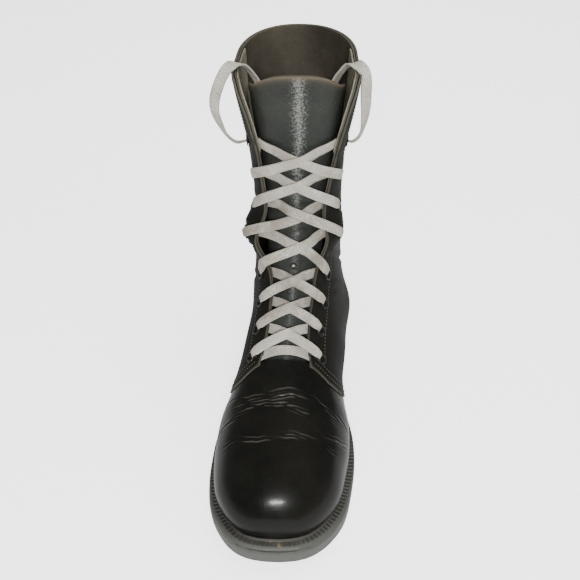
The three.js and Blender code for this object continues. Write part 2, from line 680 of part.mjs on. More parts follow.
for (const [side, points] of Object.entries(LACE_ENDS)) {
  const route = new THREE.CatmullRomCurve3(points.map((p) => new THREE.Vector3(...p)));
  const section = new THREE.Shape(
    Array.from({ length: 8 }, (_, k) => {
      const turn = (Math.PI * k) / 4;
      return new THREE.Vector2(Math.cos(turn), Math.sin(turn)).multiplyScalar(LACE_END / 2);
    }),
  );
  const tube = new THREE.ExtrudeGeometry(section, { steps: 18, extrudePath: route });
  add(`lace_end_${side}`, geometryOf(solid(tube)), LACE_COTTON);

  const down = route.getTangent(1);
  const tip = new THREE.CylinderGeometry(TIP_THICKNESS / 2, TIP_THICKNESS / 2, TIP_LENGTH, 8)
    .applyQuaternion(new THREE.Quaternion().setFromUnitVectors(new THREE.Vector3(0, 1, 0), down));
  const middle = route.getPoint(1).addScaledVector(down, TIP_LENGTH / 2 + GAP);
  tip.translate(middle.x, middle.y, middle.z);
  add(`lace_tip_${side}`, geometryOf(solid(tip)), TIP_PLASTIC);
}

// The boot stands with the middle of its box, taken without the lace ends, over the origin
const box = new THREE.Box3();
for (const mesh of boot.children) if (!mesh.name.startsWith("lace_")) box.expandByObject(mesh);
boot.position.set(-(box.min.x + box.max.x) / 2, -(box.min.y + box.max.y) / 2, -box.min.z);

export default boot;
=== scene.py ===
import math

import bmesh
import bpy
import numpy as np
from mathutils import Matrix, Vector


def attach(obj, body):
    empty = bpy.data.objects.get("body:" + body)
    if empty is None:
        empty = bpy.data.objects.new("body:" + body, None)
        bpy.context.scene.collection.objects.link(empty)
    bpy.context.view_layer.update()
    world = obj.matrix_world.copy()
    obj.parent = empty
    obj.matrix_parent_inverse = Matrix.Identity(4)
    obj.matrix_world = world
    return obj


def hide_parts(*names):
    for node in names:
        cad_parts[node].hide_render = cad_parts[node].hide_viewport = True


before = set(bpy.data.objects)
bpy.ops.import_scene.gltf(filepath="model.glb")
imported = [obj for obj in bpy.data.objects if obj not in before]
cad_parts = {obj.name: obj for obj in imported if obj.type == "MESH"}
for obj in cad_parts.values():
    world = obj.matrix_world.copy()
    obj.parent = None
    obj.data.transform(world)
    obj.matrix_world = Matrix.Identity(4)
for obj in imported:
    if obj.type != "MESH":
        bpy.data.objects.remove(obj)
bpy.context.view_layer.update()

# Camera: high in front of the toe, a little to the inner side of the foot, rolled slightly.
# The lens and the distance come from the photograph's own perspective.
EYE = Vector((0.02484, -0.35216, 0.45618))
AIM = Vector((0.0042, -0.0035, 0.1340))
ROLL = math.radians(-1.24)
LENS = 39.6

view_line = (AIM - EYE).normalized()
level = view_line.cross(Vector((0, 0, 1))).normalized()
upright = level.cross(view_line)
right = level * math.cos(ROLL) + upright * math.sin(ROLL)
camera_data = bpy.data.cameras.new("camera")
camera_data.lens = LENS
camera_data.sensor_width = 36
camera_data.clip_start = 0.02
camera = bpy.data.objects.new("camera", camera_data)
camera.matrix_world = Matrix.Translation(EYE) @ Matrix(
    (right, right.cross(view_line), -view_line)).transposed().to_4x4()
bpy.context.scene.collection.objects.link(camera)
bpy.context.scene.camera = camera


# Lace ends: flat woven cotton, 7.6 mm wide. Each comes up through its top eyelet edge on, loops out
# beside the shaft, lies over the collar and hangs down inside, where it ends in a plastic tip.
def metres(points):
    """From the last's own millimetres to the place where the boot stands"""
    return (np.asarray(points, float) + (-0.162, 4.163, 0)) / 1000


def show(name, mesh, material, slot, *nodes):
    """One finished piece with its finish, which may stand for CAD nodes"""
    piece = bpy.data.objects.new(name, mesh)
    bpy.context.scene.collection.objects.link(piece)
    for one in material if isinstance(material, (list, tuple)) else [material]:
        mesh.materials.append(one)
    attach(piece, "root")
    if nodes:
        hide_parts(*nodes)
    return piece


def smooth_mesh(name, bm):
    for face in bm.faces:
        face.smooth = True
    mesh = bpy.data.meshes.new(name)
    bm.to_mesh(mesh)
    bm.free()
    return mesh


def laid(name, steps_u, steps_v, place, size=(1, 1), flipped=False):
    """A grid whose corners go to place(u, v) in millimetres, with its UV map in the given size.
    place may also return a value for each corner, which is kept as the attribute relief."""
    bm = bmesh.new()
    bmesh.ops.create_grid(bm, x_segments=steps_u, y_segments=steps_v, size=0.5)
    mesh = smooth_mesh(name, bm)
    flat = np.empty(len(mesh.vertices) * 3)
    mesh.vertices.foreach_get("co", flat)
    u, v, _ = np.clip(flat.reshape(-1, 3) + 0.5, 0, 1).T
    points = place(u, v)
    if isinstance(points, tuple):
        points, relief = points
        mesh.attributes.new("relief", "FLOAT", "POINT").data.foreach_set("value", relief)
    mesh.vertices.foreach_set("co", metres(points).ravel())
    corner = np.empty(len(mesh.loops), int)
    mesh.loops.foreach_get("vertex_index", corner)
    uv = np.stack([u[corner] * size[0], v[corner] * size[1]], 1)
    mesh.uv_layers.new(name="UVMap").data.foreach_set("uv", uv.ravel())
    mesh.update()
    if flipped:
        mesh.flip_normals()
    return mesh


def turned(profile, steps, place, axis, closed=False):
    """A solid of revolution from (radius, height) points in millimetres, set at a place along an axis"""
    bm = bmesh.new()
    chain = [bm.verts.new((r / 1000, 0, h / 1000)) for r, h in profile]
    edges = [bm.edges.new(pair) for pair in zip(chain, chain[1:] + (chain[:1] if closed else []))]
    bmesh.ops.spin(bm, geom=chain + edges, cent=(0, 0, 0), axis=(0, 0, 1), angle=math.tau,
                   steps=steps, use_merge=True)
    bmesh.ops.remove_doubles(bm, verts=bm.verts, dist=1e-6)
    bmesh.ops.recalc_face_normals(bm, faces=bm.faces)
    bm.transform(Matrix.Translation(place) @ Vector(axis).to_track_quat("Z", "Y").to_matrix().to_4x4())
    return bm


def thicken(piece, thickness, rounded=0, offset=-1, **materials):
    """A wall behind the laid face, with its cut edges rounded"""
    wall = piece.modifiers.new("wall", "SOLIDIFY")
    wall.thickness = thickness / 1000
    wall.offset = offset
    wall.use_even_offset = False
    for key, value in materials.items():
        setattr(wall, key, value)
    if rounded:
        edge = piece.modifiers.new("cut edge", "BEVEL")
        edge.width = rounded / 1000
        edge.segments = 2
        edge.limit_method = "ANGLE"
        edge.angle_limit = math.radians(50)


BACK_AND_RIM = {"material_offset": 1, "material_offset_rim": 2}


def feed(tree, socket, value):
    """Links a socket to another, or sets its value, where a colour may leave out its alpha"""
    if isinstance(value, bpy.types.NodeSocket):
        tree.links.new(value, socket)
    else:
        socket.default_value = (*value, 1) if socket.type == "RGBA" and len(value) == 3 else value


def put(tree, kind, inputs=None, **settings):
    """A node with its settings and its inputs, each a value or another node's socket"""
    made = tree.nodes.new(kind)
    for key, value in settings.items():
        setattr(made, key, value)
    for key, value in (inputs or {}).items():
        feed(tree, made.inputs[key], value)
    return made


def position(tree):
    return put(tree, "ShaderNodeTexCoord").outputs["Object"]


def relief_of(tree):
    return put(tree, "ShaderNodeAttribute", attribute_name="relief").outputs["Fac"]


def parts_of(tree, vector=None):
    """X, Y and Z of a vector, or of the UV map, which is in millimetres"""
    if vector is None:
        vector = put(tree, "ShaderNodeUVMap", uv_map="UVMap").outputs["UV"]
    return put(tree, "ShaderNodeSeparateXYZ", {"Vector": vector}).outputs


def reckon(tree, operation, *values):
    return put(tree, "ShaderNodeMath", dict(enumerate(values)), operation=operation).outputs[0]


def noise(tree, scale, detail=2.0, roughness=0.5, spot=None):
    return put(tree, "ShaderNodeTexNoise", {
        "Vector": position(tree) if spot is None else spot, "Scale": scale, "Detail": detail,
        "Roughness": roughness}).outputs["Fac"]


def group(name, inputs, outputs):
    """An empty effect group with its named sockets"""
    tree = bpy.data.node_groups.new(name, "ShaderNodeTree")
    for label, value in inputs.items():
        socket = tree.interface.new_socket(label, in_out="INPUT", socket_type="NodeSocketFloat")
        socket.default_value = value
    for label in outputs:
        tree.interface.new_socket(label, in_out="OUTPUT", socket_type="NodeSocketFloat")
    return tree, tree.nodes.new("NodeGroupInput").outputs, tree.nodes.new("NodeGroupOutput").inputs


def blend_of(tree, factor, low, high):
    """A colour between two"""
    return put(tree, "ShaderNodeMix", {0: factor, 6: low, 7: high}, data_type="RGBA").outputs[2]


def spread(tree, value, from_low, from_high, to_low=0, to_high=1):
    return put(tree, "ShaderNodeMapRange", {
        "Value": value, "From Min": from_low, "From Max": from_high,
        "To Min": to_low, "To Max": to_high}).outputs["Result"]


def shaded(name, color, roughness, height=None, depth=0.0002, **fixed):
    """Puts the shader on a material's own tree; color and roughness may be sockets"""
    tree = name.node_tree
    shader = tree.nodes["Principled BSDF"]
    feed(tree, shader.inputs["Base Color"], color)
    feed(tree, shader.inputs["Roughness"], roughness)
    for key, value in fixed.items():
        shader.inputs[key.replace("_", " ")].default_value = value
    if height is not None:
        bump = put(tree, "ShaderNodeBump", {"Height": height, "Distance": depth, "Strength": 1.0})
        tree.links.new(bump.outputs["Normal"], shader.inputs["Normal"])
    return name


def bare(name):
    material = bpy.data.materials.new(name)
    material.use_nodes = True
    return material


# weave: the threads run in V-shaped rows along the lace's UV map, which is in millimetres
weave, _, weave_out = group("flat lace weave", {}, ["Height", "Shade"])
on_lace = parts_of(weave)
slanted = reckon(weave, "ADD", on_lace["X"], reckon(weave, "PINGPONG", on_lace["Y"], 1.75))
threads = reckon(weave, "PINGPONG", slanted, 0.7)
columns = reckon(weave, "PINGPONG", on_lace["Y"], 0.58)
feed(weave, weave_out["Height"], spread(weave, reckon(weave, "ADD", threads, columns), 0.1, 1.15))
feed(weave, weave_out["Shade"], spread(weave, noise(weave, 70, 3), 0.35, 0.7))


def lace_finish(name, clean, dirty):
    material = bare(name)
    tree = material.node_tree
    woven = put(tree, "ShaderNodeGroup", node_tree=weave)
    soiled = blend_of(tree, woven.outputs["Shade"], clean, dirty)
    # Painted shade: the gaps between the woven threads are darkened.
    painted_gap_shade = spread(tree, woven.outputs["Height"], 0, 0.6, 0.8, 0)
    color = blend_of(tree, painted_gap_shade, soiled, [0.55 * c for c in dirty])
    fleck = spread(tree, noise(tree, 650), 0.45, 0.62, 0, 0.5)
    color = blend_of(tree, fleck, color, [0.8 * c for c in dirty])
    return shaded(material, color, 0.85, woven.outputs["Height"], 0.0006, Specular_IOR_Level=0.2)


lace_cotton = lace_finish("lace cotton", (0.80, 0.77, 0.69), (0.54, 0.50, 0.42))
LACE_WIDTH, LACE_THICKNESS = 7.6, 1.1


def curve_at(table, at):
    """Smooth curve through the rows of a table, at row numbers that need not be whole"""
    i = np.clip(np.floor(at), 0, len(table) - 2).astype(int)
    u = (at - i).reshape(at.shape + (1,) * (table.ndim - 1))
    a, b, c, d = (table[np.clip(i + k, 0, len(table) - 1)] for k in (-1, 0, 1, 2))
    return b + 0.5 * u * (c - a + u * (2 * a - 5 * b + 4 * c - d + u * (3 * (b - c) + d - a)))


def run_of(line):
    """How far along a line each of its points lies"""
    return np.r_[0, np.cumsum(np.linalg.norm(np.diff(line, axis=0), axis=1))]


def read_at(at, known, rows):
    """Rows of numbers that are given at known places, read in between"""
    return np.stack([np.interp(at, known, column) for column in np.transpose(rows)], -1)


def smoothed(points, count):
    """Evenly spaced points on a smooth curve through the given ones"""
    fine = curve_at(np.asarray(points, float), np.linspace(0, len(points) - 1, 600))
    run = run_of(fine)
    return read_at(np.linspace(0, run[-1], count), run, fine), run[-1]


def ribbon(route, facing, width):
    """place(u, v) of a flat lace on a route: facing is the way its width points, width its share"""
    ahead = np.gradient(route, axis=0)
    ahead /= np.linalg.norm(ahead, axis=1, keepdims=True)
    flat = facing - ahead * np.sum(facing * ahead, 1, keepdims=True)
    flat /= np.linalg.norm(flat, axis=1, keepdims=True)

    def place(u, v):
        at, known = u * (len(route) - 1), range(len(route))
        wide = np.interp(at, known, width)[:, None]
        return read_at(at, known, route) + read_at(at, known, flat) * wide * LACE_WIDTH * (v[:, None] - 0.5)
    return place


LACE_ENDS = {
    "inner": [
        (-29.6, 61.9, 219), (-32.4, 61, 218.6), (-35.4, 58.6, 219.4), (-39, 56.4, 222.4),
        (-43.2, 54.4, 228.6), (-46.1, 53.2, 236), (-48.2, 52.4, 243.2), (-49, 52, 250),
        (-48, 51.8, 257), (-45.6, 52.2, 264), (-42.4, 53.8, 270.6), (-38.8, 57, 275.4),
        (-34.6, 61.6, 276.6), (-30, 66, 274.8), (-26.2, 69.2, 270.4), (-22.8, 71.6, 264.2),
        (-20, 73.6, 257.6), (-18.4, 75.6, 250.6), (-17.6, 77.6, 243.8)],
    "outer": [
        (45.2, 62.2, 219.2), (47.8, 61.4, 219), (50.6, 59.4, 221.8), (53, 57.2, 226.6),
        (54.8, 55.4, 233), (55.6, 54, 240), (55.8, 53, 247.2), (55.6, 52.4, 254.4),
        (55.2, 52.2, 261.4), (55, 53, 268.4), (53.4, 55.8, 274.4), (49.4, 60.4, 276.8),
        (44.6, 64.8, 275.8), (40.8, 68.2, 271.4), (37.4, 71, 265.8), (34.4, 73.4, 259),
        (32.6, 75.6, 252), (31.8, 77.8, 245.2)],
}
tip_plastic = bare("lace tip plastic")
cloudy = noise(tip_plastic.node_tree, 260)
shaded(tip_plastic, blend_of(tip_plastic.node_tree, cloudy, (0.8, 0.79, 0.74), (0.66, 0.64, 0.58)),
       0.3, cloudy, 0.0001)
TIP = [(0, 0.2), (1.5, 0.2), (1.6, 0.6), (1.6, 3), (1.35, 3.4), (1.6, 3.8), (1.55, 14), (1.2, 17.6),
       (0.6, 18.2), (0, 18.2)]
for side, points in LACE_ENDS.items():
    sign = -1 if side == "inner" else 1
    route, length = smoothed(points, 90)
    share = np.linspace(0, 1, 90)
    turns = [(0, 0.7, -0.7), (0.1 * sign, 0.7, -0.7), (0.5 * sign, 0.5, -0.6), (1 * sign, 0.1, 0),
             (0.9 * sign, -0.4, 0.2), (0.75 * sign, 0.6, 0), (0.75 * sign, 0.6, 0)]
    facing = read_at(share, [0, 0.16, 0.3, 0.48, 0.62, 0.75, 1], turns)
    width = np.interp(share, [0, 0.08, 0.25, 0.9, 1], [0.45, 0.6, 1, 1, 0.45])
    mesh = laid(f"lace_end_{side}", 140, 6, ribbon(route, facing, width), (length, LACE_WIDTH))
    end = show(f"lace_end_{side}_woven", mesh, lace_cotton, "lace_cotton", f"lace_end_{side}")
    thicken(end, LACE_THICKNESS, offset=0)

    bm = turned(TIP, 20, metres(route[-1]), route[-1] - route[-3])
    mesh = smooth_mesh(f"lace_tip_{side}", bm)
    tip = show(f"lace_tip_{side}_moulded", mesh, tip_plastic, "tip_plastic", f"lace_tip_{side}")
    metres(route[0])
    metres(route)


# Floor and light: a plain pale sweep under soft studio light, which isn't part of the boot
floor_finish = bare("pale floor")
seen = put(floor_finish.node_tree, "ShaderNodeLightPath").outputs["Is Camera Ray"]
shaded(floor_finish, (0.86, 0.86, 0.86), 0.9, Specular_IOR_Level=0.1, Emission_Color=(1, 1, 1, 1))
feed(floor_finish.node_tree, floor_finish.node_tree.nodes["Principled BSDF"].inputs["Emission Strength"],
     reckon(floor_finish.node_tree, "MULTIPLY", seen, 2.2))
bm = bmesh.new()
bmesh.ops.create_grid(bm, x_segments=1, y_segments=1, size=3)
floor = bpy.data.objects.new("floor", smooth_mesh("floor", bm))
floor.data.materials.append(floor_finish)
bpy.context.scene.collection.objects.link(floor)

world = bpy.data.worlds.new("studio")
world.use_nodes = True
tree = world.node_tree
tree.nodes["Background"].inputs["Color"].default_value = (1, 1, 1, 1)
seen = put(tree, "ShaderNodeLightPath").outputs["Is Camera Ray"]
feed(tree, tree.nodes["Background"].inputs["Strength"], spread(tree, seen, 0, 1, 0.3, 2.6))
bpy.context.scene.world = world
for name, place, size, deep, power in (
    ("key", (0.02, -1.05, 0.82), 0.34, 0.11, 18),
    ("top", (0.3, 0.3, 1.6), 1.0, 1.0, 14),
    ("fill", (1.1, -0.5, 1.0), 0.6, 0.6, 4),
    ("rear", (0.0, 1.3, 1.1), 0.6, 0.6, 4),
):
    lamp = bpy.data.lights.new(name, "AREA")
    lamp.shape = "RECTANGLE"
    lamp.size, lamp.size_y = size, deep
    lamp.energy = power
    light = bpy.data.objects.new(name, lamp)
    light.visible_glossy = name == "key"
    light.location = place
    light.rotation_euler = (Vector((0, 0, 0.1)) - light.location).to_track_quat("-Z", "Y").to_euler()
    bpy.context.scene.collection.objects.link(light)


# Sole: black-grey moulded rubber outsole with its heel block, worn dull. The CAD solids carry the
# tread and the breast of the heel, and a smooth moulded edge runs round the sides of both.
LAST_LENGTH, BALL_WIDTH, HEEL_WIDTH, SHAFT_WIDTH = 292, 102, 70, 90
INSTEP_HEIGHT, BOOT_HEIGHT, LEATHER = 124, 273, 2.2


def ramp(value, low, high):
    share = np.clip((value - low) / (high - low), 0, 1)
    return share * share * (3 - 2 * share)


def mix(low, high, share):
    return low + (high - low) * share


def sole_top(y):
    spring = np.maximum(0, (-0.24 * LAST_LENGTH - y) / (0.26 * LAST_LENGTH))
    return 13 + 15 * ramp(y, -0.09 * LAST_LENGTH, 0.24 * LAST_LENGTH) + 11 * spring ** 2


def sole_bottom(y):
    return sole_top(y) - mix(13, 8, ramp(y, -0.09 * LAST_LENGTH, 0.07 * LAST_LENGTH))


def seat(y):
    return sole_top(y) + 4.6


# Sections of the last, as in the CAD: top or front line, base or back line, half width, belly,
# and how square the lower and upper halves are
WIDTHS = {"ball": BALL_WIDTH, "heel": HEEL_WIDTH, "shaft": SHAFT_WIDTH}
SECTIONS = [
    ("ball", -0.511, 0.086, -0.035, -0.511, 0, -0.03, 0.046, 0.4, 2, 2),
    ("ball", -0.505, 0.182, -0.035, -0.505, 0, -0.028, 0.163, 0.4, 2.5, 2),
    ("ball", -0.49, 0.278, -0.03, -0.49, 0, -0.024, 0.262, 0.36, 3, 2),
    ("ball", -0.458, 0.378, -0.022, -0.458, 0, -0.018, 0.36, 0.33, 3.4, 2),
    ("ball", -0.409, 0.458, -0.014, -0.409, 0, -0.014, 0.442, 0.3, 3.8, 2.05),
    ("ball", -0.342, 0.505, -0.008, -0.342, 0, -0.01, 0.485, 0.28, 4, 2.1),
    ("ball", -0.274, 0.535, -0.002, -0.274, 0, 0, 0.505, 0.27, 4, 2.1),
    ("ball", -0.205, 0.577, 0.002, -0.199, 0, 0.007, 0.502, 0.27, 4, 2),
    ("ball", -0.144, 0.651, 0.006, -0.127, 0, 0.02, 0.458, 0.28, 4, 2),
    ("ball", -0.086, 0.761, 0.017, -0.045, 0, 0.036, 0.414, 0.3, 4, 2),
    ("ball", -0.034, 0.879, 0.034, 0.048, 0, 0.066, 0.394, 0.32, 4, 2.1),
    ("heel", 0.01, 1, 0.075, 0.158, 0, 0.118, 0.535, 0.33, 4, 2.2),
    ("heel", 0.045, 1.089, 0.085, 0.274, 0, 0.137, 0.54, 0.34, 4, 2.4),
    ("heel", 0.068, 1.17, 0.085, 0.384, 0, 0.123, 0.514, 0.35, 3.8, 2.6),
    ("heel", 0.086, 1.248, 0.09, 0.462, 0, 0.116, 0.504, 0.37, 3.2, 2.8),
    ("heel", 0.098, 1.326, 0.095, 0.502, 0.168, 0.11, 0.506, 0.4, 2.6, 2.8),
    ("heel", 0.106, 1.397, 0.1, 0.502, 0.488, 0.114, 0.497, 0.42, 2.4, 2.8),
    ("shaft", 0.111, 1.468, 0.08, 0.479, 0.84, 0.09, 0.374, 0.44, 2.3, 2.8),
    ("shaft", 0.115, 1.564, 0.086, 0.467, 1.156, 0.082, 0.382, 0.46, 2.2, 2.8),
    ("shaft", 0.113, 1.674, 0.095, 0.469, 1.418, 0.08, 0.398, 0.48, 2.2, 2.8),
    ("shaft", 0.106, 1.794, 0.1, 0.479, 1.66, 0.08, 0.428, 0.5, 2.2, 2.8),
    ("shaft", 0.096, 1.929, 0.1, 0.49, 1.865, 0.08, 0.454, 0.5, 2.2, 2.8),
    ("shaft", 0.086, 2.057, 0.1, 0.497, 2.046, 0.08, 0.47, 0.5, 2.2, 2.8),
    ("shaft", 0.079, 2.17, 0.1, 0.5, 2.17, 0.08, 0.482, 0.5, 2.2, 2.8),
]


def height(share, y):
    foot = seat(y) - 2 * LEATHER
    return mix(foot, INSTEP_HEIGHT, share) if share <= 1 else mix(INSTEP_HEIGHT, BOOT_HEIGHT, share - 1)


LAST = np.array([
    (top_y * LAST_LENGTH, height(top_z, top_y * LAST_LENGTH), top_x * WIDTHS[of],
     base_y * LAST_LENGTH, height(base_z, base_y * LAST_LENGTH), base_x * WIDTHS[of],
     half * WIDTHS[of], belly, base_round, top_round)
    for of, top_y, top_z, top_x, base_y, base_z, base_x, half, belly, base_round, top_round in SECTIONS])
LAST_ROW = len(LAST) - 1


def last_point(row, turn):
    """row counts along the sections; turn is 0 at the top or front, and 1 or -1 at the base or back"""
    row, turn = np.broadcast_arrays(np.asarray(row, float), np.asarray(turn, float))
    top_y, top_z, top_x, base_y, base_z, base_x, half, belly, base_round, top_round = np.moveaxis(
        curve_at(LAST, np.clip(row, 0, LAST_ROW)), -1, 0)
    angle = np.pi * np.where(turn > 1, turn - 2, np.where(turn < -1, turn + 2, turn))
    up = np.cos(angle)
    power = 2 / np.where(up > 0, top_round, base_round)
    rise = belly + np.sign(up) * np.abs(up) ** power * np.where(up > 0, 1 - belly, belly)
    middle = mix(base_x, top_x, ramp(rise, belly, 1))
    return np.stack([middle + np.sign(angle) * half * np.abs(np.sin(angle)) ** power,
                     mix(base_y, top_y, rise), mix(base_z, top_z, rise)], -1)


def skin(row, turn, offset=0.0):
    row, turn = np.broadcast_arrays(np.asarray(row, float), np.asarray(turn, float))
    forward = last_point(row + 0.02, turn) - last_point(row - 0.02, turn)
    around = last_point(row, turn + 0.02) - last_point(row, turn - 0.02)
    outward = np.cross(around, forward)
    outward /= np.linalg.norm(outward, axis=-1, keepdims=True)
    return last_point(row, turn) + outward * np.asarray(offset, float)[..., None]


def halved(low, high, is_low):
    """Where is_low stops being true between two rows of numbers"""
    low, high = np.array(low, float), np.array(high, float)
    for _ in range(26):
        middle = (low + high) / 2
        still = is_low(middle)
        low, high = np.where(still, middle, low), np.where(still, high, middle)
    return low


def above_seat(points):
    return points[..., 2] > seat(points[..., 1])


HEEL_ROW = float(halved(13, 15, lambda row: ~above_seat(skin(row, 1.0))))


def feather_turn(row):
    """Where the upper meets the welt on each section"""
    row = np.asarray(row, float)
    meets = halved(np.full(row.shape, 0.5), np.ones(row.shape), lambda turn: above_seat(skin(row, turn)))
    return np.where(row >= HEEL_ROW, 1.0, meets)


def feather_line(steps=200, count=1400):
    """The same all the way round in plan, evenly spaced, with its outward direction"""
    rows = HEEL_ROW * (1 - (1 - np.arange(steps + 1) / steps) ** 1.5)
    turns = feather_turn(rows)
    ring = np.concatenate([skin(rows, turns), skin(rows[:-1], -turns[:-1])[::-1]])
    ring = np.concatenate([ring, ring[:1]])
    run = run_of(ring[:, :2])
    line = read_at(np.linspace(0, run[-1], count, endpoint=False), run, ring[:, :2])
    soft = np.exp(-np.linspace(-2, 2, 13) ** 2)
    soft /= soft.sum()
    line = np.stack([np.convolve(np.r_[line[-6:, k], line[:, k], line[:6, k]], soft, "valid")
                     for k in (0, 1)], 1)
    ahead = np.roll(line, -3, 0) - np.roll(line, 3, 0)
    ahead /= np.linalg.norm(ahead, axis=1, keepdims=True)
    return line, np.stack([ahead[:, 1], -ahead[:, 0]], 1), run[-1]


EDGE_LINE, EDGE_OUT, EDGE_RUN = feather_line()
if EDGE_OUT[np.argmax(EDGE_LINE[:, 0]), 0] < 0:
    EDGE_OUT = -EDGE_OUT


def welt_width(y):
    return mix(8.5, 4.5, ramp(y, -0.09 * LAST_LENGTH, 0.24 * LAST_LENGTH))


def round_the_edge(share):
    """Point and outward direction of the edge line at a share of its length"""
    at = np.mod(share, 1) * len(EDGE_LINE)
    known = np.arange(len(EDGE_LINE) + 1)
    return [read_at(at, known, np.concatenate([ring, ring[:1]])) for ring in (EDGE_LINE, EDGE_OUT)]


def edge_band(profile, top, bottom, first=0.0, last=1.0):
    """place(u, v) of a strip round the sole; profile gives how far it stands out down its height"""
    heights, outs = np.array(profile).T

    def place(u, v):
        point, out = round_the_edge(mix(last, first, u))
        y = point[:, 1]
        at = v * (len(heights) - 1)
        down = np.interp(at, range(len(heights)), heights)
        proud = np.interp(at, range(len(heights)), outs)
        edge = point + out * (welt_width(y) + proud)[:, None]
        return np.stack([edge[:, 0], edge[:, 1], mix(top(y), bottom(y), down)], 1)
    return place


# rubber: fine moulded grain, grey dust in patches, and rubbed paler lines
rubber_wear, _, rubber_out = group("rubber wear", {}, ["Grain", "Dust", "Rub"])
stretched = put(rubber_wear, "ShaderNodeMapping", {
    "Vector": position(rubber_wear), "Scale": (1, 1, 6)}).outputs["Vector"]
feed(rubber_wear, rubber_out["Grain"], noise(rubber_wear, 900))
feed(rubber_wear, rubber_out["Dust"], spread(rubber_wear, noise(rubber_wear, 26, 6, 0.65), 0.42, 0.7))
feed(rubber_wear, rubber_out["Rub"], spread(rubber_wear, noise(rubber_wear, 90, 5, 0.7, stretched), 0.58, 0.72))
TOE_GREY = (0.066, 0.068, 0.059)


def toe_share(tree):
    """Rises from 0 to 1 along the last 9 cm before the toe"""
    return spread(tree, parts_of(tree, position(tree))["Y"], -0.06, -0.15)


def rubber_finish(name, dark, dusty, roughness=0.6):
    material = bare(name)
    tree = material.node_tree
    worn_rubber = put(tree, "ShaderNodeGroup", node_tree=rubber_wear)
    color = blend_of(tree, worn_rubber.outputs["Dust"], dark, dusty)
    rub = spread(tree, worn_rubber.outputs["Rub"], 0, 1, 0, 0.35)
    color = blend_of(tree, rub, color, [2.2 * c for c in dusty])
    rough = spread(tree, worn_rubber.outputs["Dust"], 0, 1, roughness, roughness + 0.25)
    return shaded(material, color, rough, worn_rubber.outputs["Grain"], 0.00012)


sole_rubber = rubber_finish("sole rubber", (0.022, 0.023, 0.020), (0.055, 0.054, 0.047))
edge_rubber = bare("sole edge rubber")
tree = edge_rubber.node_tree
worn_rubber = put(tree, "ShaderNodeGroup", node_tree=rubber_wear)
color = blend_of(tree, worn_rubber.outputs["Dust"], (0.020, 0.021, 0.018), (0.05, 0.05, 0.043))
color = blend_of(tree, toe_share(tree), color, TOE_GREY)
color = blend_of(tree, spread(tree, relief_of(tree), 0, 1, 0, 0.75), color, (0.19, 0.18, 0.15))
shaded(edge_rubber, color, 0.5, worn_rubber.outputs["Grain"], 0.0001)


def edge_with_line(profile, top, bottom, lines, first=0.0, last=1.0):
    place = edge_band(profile, top, bottom, first, last)

    def both(u, v):
        light = 0 * v
        for at in lines:
            light = np.maximum(light, np.exp(-(((v - at) / 0.018) ** 2)))
        return place(u, v), light
    return both


SOLE_SIDE = [(0, -2), (0, 0), (0.07, 0.35), (0.3, 0.45), (0.6, 0.4), (0.74, 0.35), (0.78, 0.05),
             (0.82, 0.35), (0.94, 0.3), (1, 0), (1, -1.5)]
mesh = laid("sole_edge", 460, 40, edge_with_line(SOLE_SIDE, lambda y: sole_top(y) - 0.1,
            lambda y: sole_bottom(y) + 0.1, [0.62]), (EDGE_RUN, 13))
show("sole_edge", mesh, edge_rubber, "sole_rubber")

shares = np.linspace(0, 1, 1401)
behind = round_the_edge(shares)[0][:, 1] > 0.25 * LAST_LENGTH
if behind[0]:
    behind = round_the_edge(shares + 0.5)[0][:, 1] > 0.25 * LAST_LENGTH
    start, stop = shares[behind][0] + 0.5, shares[behind][-1] + 0.5
else:
    start, stop = shares[behind][0], shares[behind][-1]
HEEL_SIDE = [(0, -1), (0, 0.2), (0.04, 0.35), (0.3, 0.4), (0.32, 0.05), (0.34, 0.4), (0.62, 0.4),
             (0.64, 0.05), (0.66, 0.4), (0.95, 0.4), (1, 0), (1, -1.5)]
mesh = laid("heel_edge", 200, 44, edge_with_line(HEEL_SIDE, lambda y: sole_bottom(y) - 0.35,
            lambda y: 0 * y + 0.15, [], start, stop), (EDGE_RUN, 20))
show("heel_edge", mesh, edge_rubber, "sole_rubber")

insole_board = bare("insole board")
tree = insole_board.node_tree
pressed = noise(tree, 160, 5)
shaded(insole_board, blend_of(tree, pressed, (0.11, 0.075, 0.042), (0.20, 0.145, 0.09)), 0.9, pressed, 0.0003)
for name, finish in (("outsole", sole_rubber), ("heel", sole_rubber), ("insole", insole_board)):
    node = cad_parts[name]
    node.data.materials.clear()
    node.data.materials.append(finish)


# Storm welt: a grey-brown rubber strip with a raised lip against the upper and fine ribs across
# it, about 3 mm apart, which fade out behind the waist. It is stitched and glued on the outsole.
RIB_PITCH = 3.0
WELT_PROFILE = [(-2.1, 0.15), (-0.2, 0.3), (0.3, 1.1), (0.9, 1.15), (1.4, 0.5), (1.9, -0.1)]


